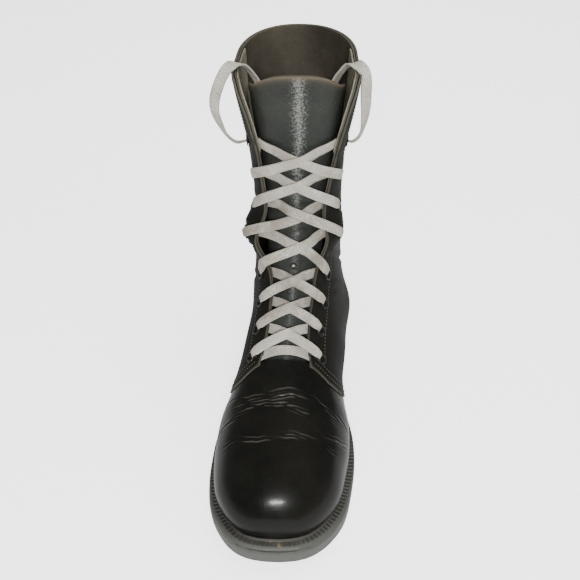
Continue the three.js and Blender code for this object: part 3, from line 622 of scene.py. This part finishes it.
def welt_place(u, v):
    point, out = round_the_edge(1 - u)
    y = point[:, 1]
    width = welt_width(y)
    at = v * 12
    lip = np.array(WELT_PROFILE)
    shoulder = mix(0.9, 3.6, ramp(y, -80, -135))
    share = (np.clip(at, 9, 12) - 9) / 3
    outs = np.where(at <= 5, np.interp(at, range(6), lip[:, 0]),
                    np.where(at <= 9, mix(1.9, width - shoulder, (at - 5) / 4),
                             width - shoulder + (shoulder + 0.1) * np.sin(np.pi / 2 * share)))
    ups = np.where(at <= 5, np.interp(at, range(6), lip[:, 1]),
                   np.where(at <= 9, -0.1, -0.1 - 3.85 * (1 - np.cos(np.pi / 2 * share))))
    ribbed = ramp(at, 4.6, 5.4) * ramp(at, 9.6, 8.9) * ramp(y, 75, 20)
    rib = np.sin(2 * np.pi * u * round(EDGE_RUN / RIB_PITCH))
    ribbed = ribbed * (1 - 0.75 * np.exp(-(((point[:, 0] + 8) / 26) ** 2)) * ramp(y, -110, -140))
    ups = ups + 0.42 * rib * ribbed
    edge = point + out * outs[:, None]
    return np.stack([edge[:, 0], edge[:, 1], seat(y) - 0.3 + ups], 1), rib * ribbed


welt_rubber = bare("welt rubber")
tree = welt_rubber.node_tree
worn_rubber = put(tree, "ShaderNodeGroup", node_tree=rubber_wear)
color = blend_of(tree, worn_rubber.outputs["Dust"], (0.026, 0.026, 0.022), (0.062, 0.06, 0.049))
# Painted shade: the troughs between the ribs are darker, read from the attribute relief.
color = blend_of(tree, spread(tree, relief_of(tree), -0.6, 0.8, 0.45, 0), color, (0.018, 0.017, 0.014))
rim = reckon(tree, "MULTIPLY", spread(tree, parts_of(tree)["Y"], 9, 9.4), toe_share(tree))
color = blend_of(tree, rim, color, TOE_GREY)
SCUFFED = (0.006, -0.145, 0.028)
rubbed = put(tree, "ShaderNodeVectorMath", {0: position(tree), 1: SCUFFED}, operation="DISTANCE").outputs["Value"]
scuff = reckon(tree, "MULTIPLY", spread(tree, rubbed, 0.02, 0.004, 0, 0.8), worn_rubber.outputs["Rub"])
color = blend_of(tree, scuff, color, (0.20, 0.15, 0.09))
shaded(welt_rubber, color, spread(tree, worn_rubber.outputs["Dust"], 0, 1, 0.55, 0.8),
       worn_rubber.outputs["Grain"], 0.00012)
mesh = laid("storm_welt", 1536, 24, welt_place, (EDGE_RUN, 12))
show("storm_welt", mesh, welt_rubber, "welt_rubber", "welt")


# Vamp: black polished leather over a round toe, lasted and cemented under the welt. It creases
# across the ball, where the light catches the ridges, and its rear edge goes under the quarters.
THROAT_ROW, THROAT_WIDTH, QUARTER_LAP = 8.3, 35, 1.2
THROAT = np.array([(0, 1.08), (0.12, 0.91), (0.25, 0.92), (0.4, 1), (0.6, 1.22), (0.75, 1.37),
                   (0.85, 1.6), (1, 2.1)])
edge_rows = np.arange(THROAT_ROW, LAST_ROW + 1e-9, 0.05)
middle_line = last_point(edge_rows, 0.0)
edge_lengths = run_of(middle_line)
COLLAR_LENGTH = edge_lengths[np.argmax(middle_line[:, 2] > BOOT_HEIGHT)]


def row_at(length):
    """The section that lies a length along the middle line from the end of the throat"""
    before = np.minimum(0, np.asarray(length, float)) * 0.05 / edge_lengths[1]
    return np.interp(length, edge_lengths, edge_rows) + before


def length_at(row):
    return np.interp(row, edge_rows, edge_lengths)


def throat_half(length):
    share = np.clip(np.asarray(length, float) / COLLAR_LENGTH, 0, 1)
    return THROAT_WIDTH / 2 * curve_at(THROAT[:, 1], np.interp(share, THROAT[:, 0], range(len(THROAT))))


def turn_at(row, x):
    """Where the skin is x to the side of its middle line"""
    row, x = np.broadcast_arrays(np.asarray(row, float), np.asarray(x, float))
    middle = curve_at(LAST, np.clip(row, 0, LAST_ROW))[..., 2]
    reach = halved(np.zeros(row.shape), np.full(row.shape, 0.5),
                   lambda turn: last_point(row, turn)[..., 0] - middle < np.abs(x))
    return np.sign(x) * reach


def fold(row, turn, path, depth, width, pitch=19.0, fade=0.05):
    """A soft trough with a ridge beside it, along a path of (turn, row) places. It gives the lift, and a second
    value, high on the ridge, that the leather finish turns into a painted highlight
    """
    turns, rows = np.array(path).T
    line = curve_at(rows, np.interp(turn, turns, range(len(turns))))
    line = line + 0.02 * np.sin(47 * turn + 9 * rows[0]) + 0.012 * np.sin(101 * turn + 5 * rows[0])
    away = (row - line) * pitch / width
    ends = ramp(turn, turns[0] - fade, turns[0] + fade) * ramp(turn, turns[-1] + fade, turns[-1] - fade)
    trough, ridge = np.exp(-away ** 2), np.exp(-((away - 1.7) ** 2)) + 0.6 * np.exp(-((away + 1.8) ** 2))
    faint = 0.78 + 0.22 * np.sin(31 * turn + 7 * rows[-1])
    return depth * ends * (0.45 * ridge - trough), ends * faint * (ridge - 1.2 * trough)


VAMP_FOLDS = [
    ([(-0.13, 7.1), (-0.04, 7.08), (0.03, 7.16), (0.08, 7.16), (0.18, 6.9), (0.32, 6.5)], 0.3, 0.8),
    ([(-0.245, 7.05), (-0.14, 6.95), (-0.06, 6.96), (0.025, 7.06), (0.08, 7.06), (0.18, 6.8),
      (0.305, 6.4)], 0.35, 0.9),
    ([(-0.25, 6.98), (-0.15, 6.85), (-0.06, 6.84), (0.03, 6.94), (0.1, 6.9), (0.2, 6.65), (0.3, 6.3)], 0.3, 0.7),
    ([(-0.26, 6.9), (-0.13, 6.74), (-0.05, 6.72), (0.025, 6.8), (0.085, 6.84)], 0.25, 0.7),
    ([(-0.25, 6.78), (-0.14, 6.64), (-0.04, 6.6), (0.04, 6.66)], 0.25, 0.7),
    ([(-0.295, 6.3), (-0.215, 6.45), (-0.125, 6.52), (-0.05, 6.5), (0.03, 6.46), (0.1, 6.34)], 0.3, 0.8),
    ([(0.0, 6.58), (0.06, 6.5), (0.13, 6.38), (0.2, 6.3)], 0.3, 0.8),
    ([(0.04, 6.44), (0.1, 6.3), (0.16, 6.24), (0.22, 6.2)], 0.25, 0.7),
    ([(-0.3, 5.3), (-0.225, 5.42), (-0.12, 5.3), (0, 5.24), (0.04, 5.26), (0.08, 5.22)], 0.3, 0.8),
    ([(0.0, 5.5), (0.06, 5.48), (0.14, 5.4), (0.22, 5.3), (0.3, 5.16)], 0.35, 0.8),
    ([(-0.24, 5.26), (-0.17, 5.16), (-0.08, 5.1), (0, 5.16), (0.03, 5.22)], 0.25, 0.7),
    ([(0.005, 5.4), (0.06, 5.36), (0.13, 5.3)], 0.25, 0.7),
    ([(0.14, 5.72), (0.225, 5.7), (0.33, 5.8), (0.43, 6.0)], 0.3, 0.8),
    ([(0.22, 5.55), (0.3, 5.6), (0.42, 5.8)], 0.25, 0.7),
    ([(-0.42, 6.1), (-0.34, 6.2), (-0.24, 6.3)], 0.3, 1.0),
    ([(-0.45, 7.3), (-0.33, 7.25), (-0.22, 7.15)], 0.3, 1.0),
    ([(0.3, 6.75), (0.36, 6.6), (0.42, 6.5)], 0.3, 1.0),
]


VAMP_ROWS = np.linspace(0, 10, 400)
VAMP_TURNS = feather_turn(VAMP_ROWS)


def vamp_place(u, v):
    side = 2 * v - 1
    rear = mix(THROAT_ROW, 9.15, ramp(np.abs(side), 0.2, 0.34))
    row = np.where(u < 0.8, np.interp(u, [0, 0.25, 0.8], [-0.3, 4.9, 7.3]), mix(7.3, rear, (u - 0.8) / 0.2))
    turn = side * np.interp(row, VAMP_ROWS, VAMP_TURNS)
    lift, ridge = np.zeros(row.shape), np.zeros(row.shape)
    # ridge gathers the folds' second values, which become a painted highlight along the crease ridges
    for path, depth, width in VAMP_FOLDS:
        push, painted_ridge_highlight = fold(row, turn, path, depth, width)
        lift, ridge = lift + push, ridge + painted_ridge_highlight
    sag = -0.9 * np.exp(-(((row - 6.65) / 0.45) ** 2)) - 0.6 * np.exp(-(((row - 5.25) / 0.3) ** 2))
    sag = sag * np.exp(-((turn / 0.34) ** 2))
    points = skin(np.maximum(row, 0), turn, lift + sag - 0.05)
    tip = ramp(row, -0.3, 0)[:, None] ** 0.5
    middle = skin(np.zeros(1), np.zeros(1)) * 0.5 + skin(np.zeros(1), np.ones(1) * 0.8) * 0.5
    middle[:, 1] -= 0.6
    return mix(middle, points, np.where(row[:, None] < 0, tip, 1)), np.clip(ridge, -1, 1)


# leather: pores and grain as height, broad mottling, and thin scratches where it is rubbed
leather_wear, leather_in, leather_out = group(
    "worn leather", {"Scratched": 0.5}, ["Height", "Mottle", "Scratch"])
spot = position(leather_wear)
pores = put(leather_wear, "ShaderNodeTexVoronoi", {"Vector": spot, "Scale": 900}).outputs["Distance"]
feed(leather_wear, leather_out["Height"], reckon(leather_wear, "ADD", pores, noise(leather_wear, 420, 4)))
feed(leather_wear, leather_out["Mottle"], spread(leather_wear, noise(leather_wear, 22, 6, 0.6), 0.35, 0.68))
bent = put(leather_wear, "ShaderNodeTexNoise", {"Vector": spot, "Scale": 30, "Detail": 2}).outputs["Color"]
pushed = put(leather_wear, "ShaderNodeVectorMath", {0: bent, 1: (0.03, 0.03, 0.03)}, operation="MULTIPLY").outputs[0]
swirled = put(leather_wear, "ShaderNodeVectorMath", {0: spot, 1: pushed}, operation="ADD").outputs[0]
lines = put(leather_wear, "ShaderNodeTexVoronoi", {"Vector": swirled, "Scale": 75},
            feature="DISTANCE_TO_EDGE").outputs["Distance"]
found = reckon(leather_wear, "MULTIPLY", spread(leather_wear, lines, 0.0, 0.03, 1, 0),
               spread(leather_wear, noise(leather_wear, 55, 4), 0.5, 0.72))
feed(leather_wear, leather_out["Scratch"], reckon(leather_wear, "MULTIPLY", found, leather_in["Scratched"]))


def leather_finish(name, dark, brown, pale, roughness, scratched, depth=0.00004, coat=0.12, gloss=0.12):
    """Polished leather: dark and brown mix in patches, pale shows on scratches and on rubbed edges, and pale along
    crease ridges is a painted highlight
    """
    material = bare(name)
    tree = material.node_tree
    hide = put(tree, "ShaderNodeGroup", {"Scratched": scratched}, node_tree=leather_wear)
    color = blend_of(tree, hide.outputs["Mottle"], dark, brown)
    # The attribute relief paints pale on rubbed edges as wear and along crease ridges as a painted highlight
    color = blend_of(tree, spread(tree, relief_of(tree), 0.5, 1, 0, 0.9), color, pale)
    color = blend_of(tree, hide.outputs["Scratch"], color, pale)
    rough = spread(tree, hide.outputs["Mottle"], 0, 1, roughness, roughness + 0.14)
    return shaded(material, color, rough, hide.outputs["Height"], depth, Coat_Weight=coat,
                  Coat_Roughness=0.14, Specular_IOR_Level=gloss)


black_leather = leather_finish("polished black leather", (0.0035, 0.0036, 0.0030), (0.0085, 0.0082, 0.0062),
                               (0.06, 0.058, 0.046), 0.24, 0.05)
shaft_leather = leather_finish("worn black leather", (0.0055, 0.0056, 0.0046), (0.012, 0.0115, 0.009),
                               (0.06, 0.058, 0.046), 0.5, 0.1, coat=0, gloss=0.07)
cut_leather = leather_finish("cut leather edge", (0.022, 0.0215, 0.017), (0.052, 0.049, 0.039),
                             (0.085, 0.08, 0.062), 0.8, 0.2, coat=0)
lining_leather = leather_finish("raw lining leather", (0.035, 0.031, 0.023), (0.075, 0.066, 0.05),
                                (0.13, 0.115, 0.085), 0.9, 0.1, 0.0004, coat=0)
pale_edge = leather_finish("raw lining edge", (0.055, 0.053, 0.042), (0.115, 0.11, 0.088),
                           (0.15, 0.14, 0.11), 0.9, 0.1, coat=0)
mesh = laid("vamp", 280, 150, vamp_place, (170, 200), flipped=True)
vamp = show("vamp", mesh, [black_leather, lining_leather, cut_leather], "black_leather", "upper")
thicken(vamp, 2, **BACK_AND_RIM)


# Quarters: the inner and outer sides, of leather that has lost its polish, with a raw lining behind it.
# Their front edges lie on the vamp, and their throat edges hold the eyelets and buckle at the ankle.
throat_end = last_point(THROAT_ROW, 0.0)
QUARTER_EDGE = np.array([(0, -0.05), (-0.02, 0.09), (-0.07, 0.22), (-0.07, 0.32), (-0.03, 0.44),
                         (0.06, 0.57), (0.19, 0.7), (0.3, 0.78)])
edge_y = throat_end[1] + QUARTER_EDGE[:, 0] * throat_end[2]
edge_z = throat_end[2] * (1 - QUARTER_EDGE[:, 1])
EYELET_ROWS, ANKLE_ROW = 8, 4


def eyelet_length(i):
    return 8 + 20.8 * i + (33 - 20.8) * (i >= ANKLE_ROW)


bend_length = mix(eyelet_length(ANKLE_ROW - 1), eyelet_length(ANKLE_ROW), 0.7)
bend_row = row_at(bend_length)
BEND = skin(bend_row, turn_at(bend_row, throat_half(bend_length)))


def worn(points):
    """The flaps stand out at the collar and buckle at the ankle bend, and the outer heel is trodden out"""
    p = np.array(points, float)
    side = np.clip(p[..., 0] / 12, -1, 1)
    top = 4 * ramp(p[..., 2], BOOT_HEIGHT - 75, BOOT_HEIGHT) ** 1.5 * ramp(
        p[..., 1], 0.3 * LAST_LENGTH, 0.14 * LAST_LENGTH)
    bend = np.exp(-(((p[..., 2] - BEND[2]) / 15) ** 2)) * ramp(p[..., 1], BEND[1] + 45, BEND[1] + 15) * mix(
        11, 7, (side + 1) / 2)
    trodden = 5.5 * np.exp(-(((p[..., 2] - 56) / 26) ** 2)) * np.exp(-(((p[..., 1] - 54) / 38) ** 2)) * ramp(
        p[..., 2], 28, 44)
    p[..., 0] += side * (top + bend) + np.clip(side, 0, 1) * trodden
    p[..., 1] -= 0.6 * top + 0.2 * bend
    return p


TURN_ROWS = np.linspace(0, LAST_ROW, 700)
opened = 3.5 * ramp(length_at(TURN_ROWS), 0.5 * COLLAR_LENGTH, 0.75 * COLLAR_LENGTH) * ramp(
    length_at(TURN_ROWS), 0.96 * COLLAR_LENGTH, 0.8 * COLLAR_LENGTH)
THROAT_TURNS = turn_at(TURN_ROWS, throat_half(length_at(TURN_ROWS)) + opened)
FEATHER_TURNS = feather_turn(TURN_ROWS)


def quarter_front(turn_of):
    """The section where the front edge of the quarter is met"""
    def still_ahead(row):
        p = skin(row, turn_of(row))
        return p[..., 1] < np.interp(-p[..., 2], -edge_z, edge_y)
    return still_ahead


def quarter_grid(sign):
    """row and turn for shares u from front edge to collar, and v from throat edge to back seam"""
    known = np.linspace(0, 1, 61)

    def turn_of(row, v=known):
        return mix(np.interp(row, TURN_ROWS, THROAT_TURNS), np.interp(row, TURN_ROWS, FEATHER_TURNS), v)
    first = halved(np.full(61, 6.0), np.full(61, 13.5), quarter_front(turn_of))
    last = halved(np.full(61, 19.0), np.full(61, 23.0),
                  lambda row: skin(row, turn_of(row))[..., 2] < BOOT_HEIGHT)

    def rows(u, v):
        row = mix(np.interp(v, known, first), np.interp(v, known, last), u)
        return row, sign * turn_of(row, v)
    return rows


QUARTER_FOLDS = [
    ([(0.16, 13.3), (0.28, 13.5), (0.42, 14.0), (0.55, 14.6)], 1.3, 3.4),
    ([(0.15, 14.6), (0.26, 14.9), (0.38, 15.4), (0.5, 15.9)], 1.0, 3.6),
    ([(0.2, 11.6), (0.32, 12.0), (0.45, 12.4)], 0.9, 3.2),
    ([(0.18, 16.4), (0.3, 16.6), (0.45, 16.8), (0.6, 17.2)], 0.9, 4.0),
    ([(0.55, 15.2), (0.7, 15.9), (0.85, 16.1), (1.0, 16.0)], 1.1, 4.2),
    ([(0.6, 17.2), (0.75, 17.6), (0.95, 17.7)], 0.8, 4.2),
    ([(0.22, 19.2), (0.35, 19.0), (0.5, 19.1)], 0.6, 4.5),
]


def quarter_place(sign):
    rows = quarter_grid(sign)

    def place(u, v):
        row, turn = rows(u, v)
        lift, ridge = np.zeros(row.shape), np.zeros(row.shape)
        for path, depth, width in QUARTER_FOLDS:
            push, painted_ridge_highlight = fold(row + 0.25 * sign, np.abs(turn), path, depth, width, 22.0)
            lift, ridge = lift + push, ridge + 0.5 * painted_ridge_highlight
        lift = lift * ramp(v, 0, 0.12)
        # rub pales the cut edges as wear, while ridge carries a painted highlight along the folds
        rub = np.exp(-v / 0.012) + np.exp(-u / 0.012) + np.exp(-(1 - u) / 0.012)
        return worn(skin(row, turn, QUARTER_LAP + lift)), np.clip(ridge + rub, -1, 1)
    return place


def lining_place(sign):
    """The lining is a layer of its own, a little behind the leather"""
    rows = quarter_grid(sign)

    def place(u, v):
        row, turn = rows(mix(0.03, 1, u), v)
        return worn(skin(row, turn, -1.0)), 0 * v
    return place


for side, sign in (("inner", -1), ("outer", 1)):
    mesh = laid(f"quarter_{side}", 190, 130, quarter_place(sign), (300, 200), sign > 0)
    quarter = show(f"quarter_{side}", mesh, [shaft_leather, lining_leather, cut_leather],
                   "black_leather", "upper")
    thicken(quarter, 1.5, 0.3, **BACK_AND_RIM)
    mesh = laid(f"lining_{side}", 110, 76, lining_place(sign), (300, 200), sign > 0)
    lining = show(f"lining_{side}", mesh, [lining_leather, lining_leather, pale_edge], "black_leather")
    thicken(lining, 1.1, 0.2, **BACK_AND_RIM)


# Reinforcing facings: raw suede strips inside each flap, behind the eyelets, with a scalloped
# lower end a little way down the shaft.
def facing_place(sign):
    rows = quarter_grid(sign)

    def place(u, v):
        reach = 0.36 * v
        depth = 0.19 + 0.014 * np.abs(np.sin(5 * np.pi * v))
        row, turn = rows(1 - 0.003 - depth * u, reach + 0.004)
        return worn(skin(row, turn, -2.3)), 0.5 * np.exp(-(1 - u) / 0.03)
    return place


suede = leather_finish("olive suede", (0.17, 0.16, 0.115), (0.29, 0.275, 0.21),
                       (0.38, 0.35, 0.27), 0.95, 0.5, 0.0005, coat=0)
for side, sign in (("inner", -1), ("outer", 1)):
    mesh = laid(f"facing_{side}", 50, 90, facing_place(sign), (60, 120), sign > 0)
    facing = show(f"facing_{side}", mesh, suede, "black_leather")
    thicken(facing, 1.2, 0.3, offset=1)


# Stitching: waxed thread, two rows along each quarter's front edge, one behind the eyelets and one
# round the collar. Each stitch is a small pressed bead between two needle holes.
thread_finish = bare("waxed thread")
tree = thread_finish.node_tree
twist = noise(tree, 500)
shaded(thread_finish, blend_of(tree, twist, (0.035, 0.033, 0.025), (0.10, 0.095, 0.074)), 0.8, twist, 0.0001)
STITCH_PITCH, STITCH_LENGTH = 2.7, 2.0


def add_stitches(bm, line, lift_to):
    """Beads along a line on the leather; lift_to is the same line a little further out"""
    run = run_of(line)
    for at in np.arange(STITCH_PITCH, run[-1] - STITCH_PITCH, STITCH_PITCH):
        a, b = read_at(at + STITCH_LENGTH * np.array([-0.5, 0.5]), run, line)
        middle = (a + b) / 2
        ahead = Vector(b - a).normalized()
        out = Vector(read_at(at, run, lift_to) - middle).normalized()
        aside = out.cross(ahead).normalized()
        out = ahead.cross(aside)
        turn = Matrix((ahead * STITCH_LENGTH / 2000, aside * 0.00042, out * 0.00034)).transposed().to_4x4()
        bmesh.ops.create_icosphere(bm, subdivisions=1, radius=1,
                                   matrix=Matrix.Translation(metres(middle)) @ turn)


bm = bmesh.new()
fine = np.linspace(0, 1, 400)
for sign in (-1, 1):
    rows = quarter_grid(sign)
    for u, v in ((0.018, mix(0.03, 0.97, fine)), (0.034, mix(0.03, 0.97, fine)),
                 (mix(0.05, 0.98, fine), 0.17), (0.987, mix(0.04, 0.9, fine))):
        row, turn = rows(u + 0 * fine, v + 0 * fine)
        add_stitches(bm, worn(skin(row, turn, QUARTER_LAP + 0.1)), worn(skin(row, turn, QUARTER_LAP + 1)))
mesh = smooth_mesh("stitching", bm)
show("stitching", mesh, thread_finish, "black_leather")


# Backstay: a strip of the same leather stitched over the back seam, wider over the heel.
def backstay_place(u, v):
    z = mix(seat(0.5 * LAST_LENGTH) + 0.6, BOOT_HEIGHT - 4, u)
    half = mix(12, 23, ramp(z, 103, 67))
    side = 2 * v - 1
    row = np.full(z.shape, 18.0)
    turn = np.full(z.shape, 1.0)
    for _ in range(8):
        middle = curve_at(LAST, row)[:, 5]
        wide = halved(np.full(z.shape, 0.5), np.ones(z.shape),
                      lambda share: last_point(row, share)[:, 0] - middle > half)
        turn = 1 + (1 - wide) * side
        low = np.full(z.shape, HEEL_ROW - 0.5)
        row = halved(low, np.full(z.shape, float(LAST_ROW)), lambda r: last_point(r, turn)[:, 2] < z)
    edge = np.exp(-(1 - np.abs(side)) / 0.06)
    return skin(row, turn, 2.8 + 0 * z), 0.9 * edge


mesh = laid("backstay", 120, 24, backstay_place, (230, 24), flipped=True)
backstay = show("backstay_strip", mesh, [shaft_leather, cut_leather, cut_leather],
                "black_leather", "backstay")
thicken(backstay, 1.25, 0.3, **BACK_AND_RIM)


# Tongue: one soft hide piece sewn under the end of the vamp, arched at the top and cracked where it bends down its
# middle, with a pale speckled streak there that is a painted highlight. Its cut top edge is tan.
def tongue_place(u, v):
    side = 2 * v - 1
    length = mix(-11, COLLAR_LENGTH + 8 * (1 - side ** 2) - 8 * side ** 4, u)
    reach = throat_half(np.minimum(0.88 * COLLAR_LENGTH, np.maximum(0, length))) + 9
    depth = mix(2.5, 6, ramp(length, -5.5, 5.5))
    row = row_at(length)
    turn = turn_at(row, reach * side)
    push = np.zeros(u.shape)
    for at, much in ((0.33, 0.5), (0.47, 0.9), (0.55, 0.7), (0.62, 0.8), (0.78, 0.4)):
        off = (u - at - 0.01 * np.sin(5 * side)) / 0.012
        push -= much * np.exp(-off ** 2) * ramp(np.abs(side), 0.95, 0.5)
    push = push + 0.5 * np.exp(-((side / 0.25) ** 2)) * ramp(u, 0.1, 0.3)
    return skin(row, turn, -depth + push), np.exp(-(1 - u) / 0.008) + 0 * v


tongue_leather = bare("crackled tongue leather")
tree = tongue_leather.node_tree
hide = put(tree, "ShaderNodeGroup", {"Scratched": 0.3}, node_tree=leather_wear)
long_spot = put(tree, "ShaderNodeMapping", {"Vector": position(tree), "Scale": (1, 0.6, 0.6)}).outputs["Vector"]
cracks = put(tree, "ShaderNodeTexVoronoi", {"Vector": long_spot, "Scale": 900},
             feature="DISTANCE_TO_EDGE").outputs["Distance"]
crack = spread(tree, cracks, 0.0, 0.12, 0, 1)
color = blend_of(tree, hide.outputs["Mottle"], (0.020, 0.0225, 0.0195), (0.042, 0.045, 0.039))
color = blend_of(tree, spread(tree, cracks, 0, 0.08, 0.4, 0), color, (0.006, 0.006, 0.005))
TONGUE_UV = 220, 55
on_tongue = parts_of(tree)
off_middle = reckon(tree, "ABSOLUTE", reckon(tree, "SUBTRACT", on_tongue["Y"], TONGUE_UV[1] / 2 + 1))
# Painted highlight: a pale speckled streak down the tongue's middle, fading towards its lower end.
speckle = noise(tree, 800, 5, 0.75)
streak = spread(tree, reckon(tree, "ADD", spread(tree, off_middle, 0, 6.5, 0.16, -0.08), speckle), 0.54, 0.74)
painted_highlight_streak = reckon(tree, "MULTIPLY", streak, spread(tree, on_tongue["X"], 95, 150, 0.25, 1))
color = blend_of(tree, painted_highlight_streak, color, (0.27, 0.28, 0.26))
color = blend_of(tree, relief_of(tree), color, (0.16, 0.12, 0.08))
shaded(tongue_leather, color, spread(tree, hide.outputs["Mottle"], 0, 1, 0.42, 0.55), crack, 0.00012,
       Coat_Weight=0.04, Coat_Roughness=0.2, Specular_IOR_Level=0.2)
mesh = laid("tongue", 190, 60, tongue_place, TONGUE_UV, flipped=True)
tongue = show("tongue_hide", mesh, [tongue_leather, lining_leather, cut_leather], "tongue_leather", "tongue")
thicken(tongue, 2.1, 0.4, **BACK_AND_RIM)


# Eyelets: black enamelled metal, eight pairs. Each is a rolled ring on the leather with its
# barrel pressed through the wall.
def on_leather(length, x, offset=0.0):
    row = row_at(length)
    return worn(skin(row, turn_at(row, x), offset))


def leather_normal(length, x):
    up = on_leather(length + 1, x) - on_leather(length - 1, x)
    sideways = on_leather(length, x + 1) - on_leather(length, x - 1)
    normal = np.cross(sideways, up)
    return normal / np.linalg.norm(normal, axis=-1, keepdims=True)


enamel = bare("black enamel")
tree = enamel.node_tree
chips = spread(tree, noise(tree, 420, 4), 0.62, 0.7)
shaded(enamel, blend_of(tree, chips, (0.010, 0.010, 0.009), (0.16, 0.15, 0.12)),
       spread(tree, chips, 0, 1, 0.4, 0.55), chips, 0.00005, Specular_IOR_Level=0.25)
RING = [(2.3, -3.6), (2.75, -3.6), (2.75, -1), (2.75, 0.05), (4.35, 0.05), (4.4, 0.3), (4.2, 0.7),
        (3.7, 1.0), (3.1, 1.0), (2.6, 0.8), (2.35, 0.3), (2.3, -0.4)]
EYELET_INSET = 9


def eyelet_x(i):
    return throat_half(eyelet_length(i)) + EYELET_INSET


for side, sign in (("inner", -1), ("outer", 1)):
    bm = bmesh.new()
    for i in range(EYELET_ROWS):
        length, x = eyelet_length(i), sign * eyelet_x(i)
        centre = metres(on_leather(length, x, QUARTER_LAP))
        one = smooth_mesh("one eyelet", turned(RING, 32, centre, leather_normal(length, x), closed=True))
        bm.from_mesh(one)
        bpy.data.meshes.remove(one)
    mesh = smooth_mesh(f"eyelets_{side}", bm)
    show(f"eyelets_{side}", mesh, enamel, "eyelet_enamel",
         *[f"eyelet_{side}_{i + 1}" for i in range(EYELET_ROWS)])


# Rivet: a small domed brass-grey stud that holds the tongue's lining, level with the fourth pair.
STUD = [(0, 1.3), (0.9, 1.2), (1.7, 0.9), (2.3, 0.5), (2.6, 0.1), (2.6, -0.6), (0, -0.6)]
stud_length = eyelet_length(3) + 1
stud_place = metres(skin(row_at(stud_length), 0.0, -5.4))
mesh = smooth_mesh("tongue_stud", turned(STUD, 28, stud_place, leather_normal(stud_length, 0.01)))
old_metal = bare("dull stud metal")
tree = old_metal.node_tree
tarnish = noise(tree, 600, 4)
shaded(old_metal, blend_of(tree, tarnish, (0.09, 0.085, 0.07), (0.26, 0.24, 0.2)), 0.4, tarnish, 0.00005,
       Metallic=1.0)
show("tongue_stud", mesh, old_metal, "eyelet_enamel")


# Laces: the same flat woven cotton. A bar under both flaps comes out of the lowest eyelets, and
# each strand then crosses outside and goes in under the opposite flap to the next eyelet.
OVER_FLAP, UNDER_FLAP, MID_THROAT = 3.3, -4.2, 0.6
LACE_TUCK, LACE_DIVE, EYELET_DIVE = 5, 7, 4.2
dirty_cotton = lace_finish("worn lace cotton", (0.72, 0.68, 0.60), (0.36, 0.33, 0.27))


def strand_mesh(name, start_length, end_length, start_x, end_x, over, loose=0.0, from_eyelet=True):
    """One strand; over is how far it rides above or below the other at the middle"""
    side = math.copysign(1, start_x)
    share = np.linspace(0, 1, 80)
    length = mix(start_length, end_length, share)
    x = mix(start_x, end_x, share)
    own = side * x
    low_open, high_open = throat_half(start_length), throat_half(end_length)
    rise = np.where(own > 0, mix(MID_THROAT, OVER_FLAP, ramp(own, 0, low_open)),
                    mix(MID_THROAT, UNDER_FLAP, ramp(-own, 0, high_open - LACE_DIVE)))
    if not from_eyelet:
        rise = np.full(80, UNDER_FLAP)
    rise = rise + over * np.exp(-((x / 9) ** 2))
    length = length + loose * np.sin(np.pi * share)
    width = np.ones(80)
    if from_eyelet:
        run = run_of(on_leather(length, x, rise))
        rise = rise - EYELET_DIVE * ramp(run, 4.6, 0)
        width = np.interp(run, [0, 3, 9], [0.5, 0.6, 1])
    route = on_leather(length, x, rise)
    ahead = np.gradient(route, axis=0)
    facing = np.cross(ahead, leather_normal(length, x))
    return laid(name, 110, 8, ribbon(route, facing, width), (run_of(route)[-1], LACE_WIDTH))


def joined(name, meshes, material, *nodes):
    bm = bmesh.new()
    for one in meshes:
        bm.from_mesh(one)
        bpy.data.meshes.remove(one)
    piece = show(name, smooth_mesh(name, bm), material, "lace_cotton", *nodes)
    thicken(piece, LACE_THICKNESS, offset=0)


bar = strand_mesh("bar", eyelet_length(0), eyelet_length(0), -eyelet_x(0), eyelet_x(0), 0, from_eyelet=False)
joined("lace_bar_woven", [bar], lace_cotton, "lace_bar")
for i in range(EYELET_ROWS - 1):
    low, high = eyelet_length(i), eyelet_length(i + 1)
    reach = throat_half(high) + LACE_TUCK
    on_top = 1 if i == 4 else -1
    strands = [strand_mesh("strand", low, high, sign * eyelet_x(i), -sign * reach,
                           0.8 if sign == on_top else -0.8, -5 if i == 4 and sign < 0 else 0)
               for sign in (-1, 1)]
    joined(f"lace_crossing_{i + 1}_woven", strands, dirty_cotton if i in (1, 2, 3, 4) else lace_cotton,
           f"lace_crossing_{i + 1}")
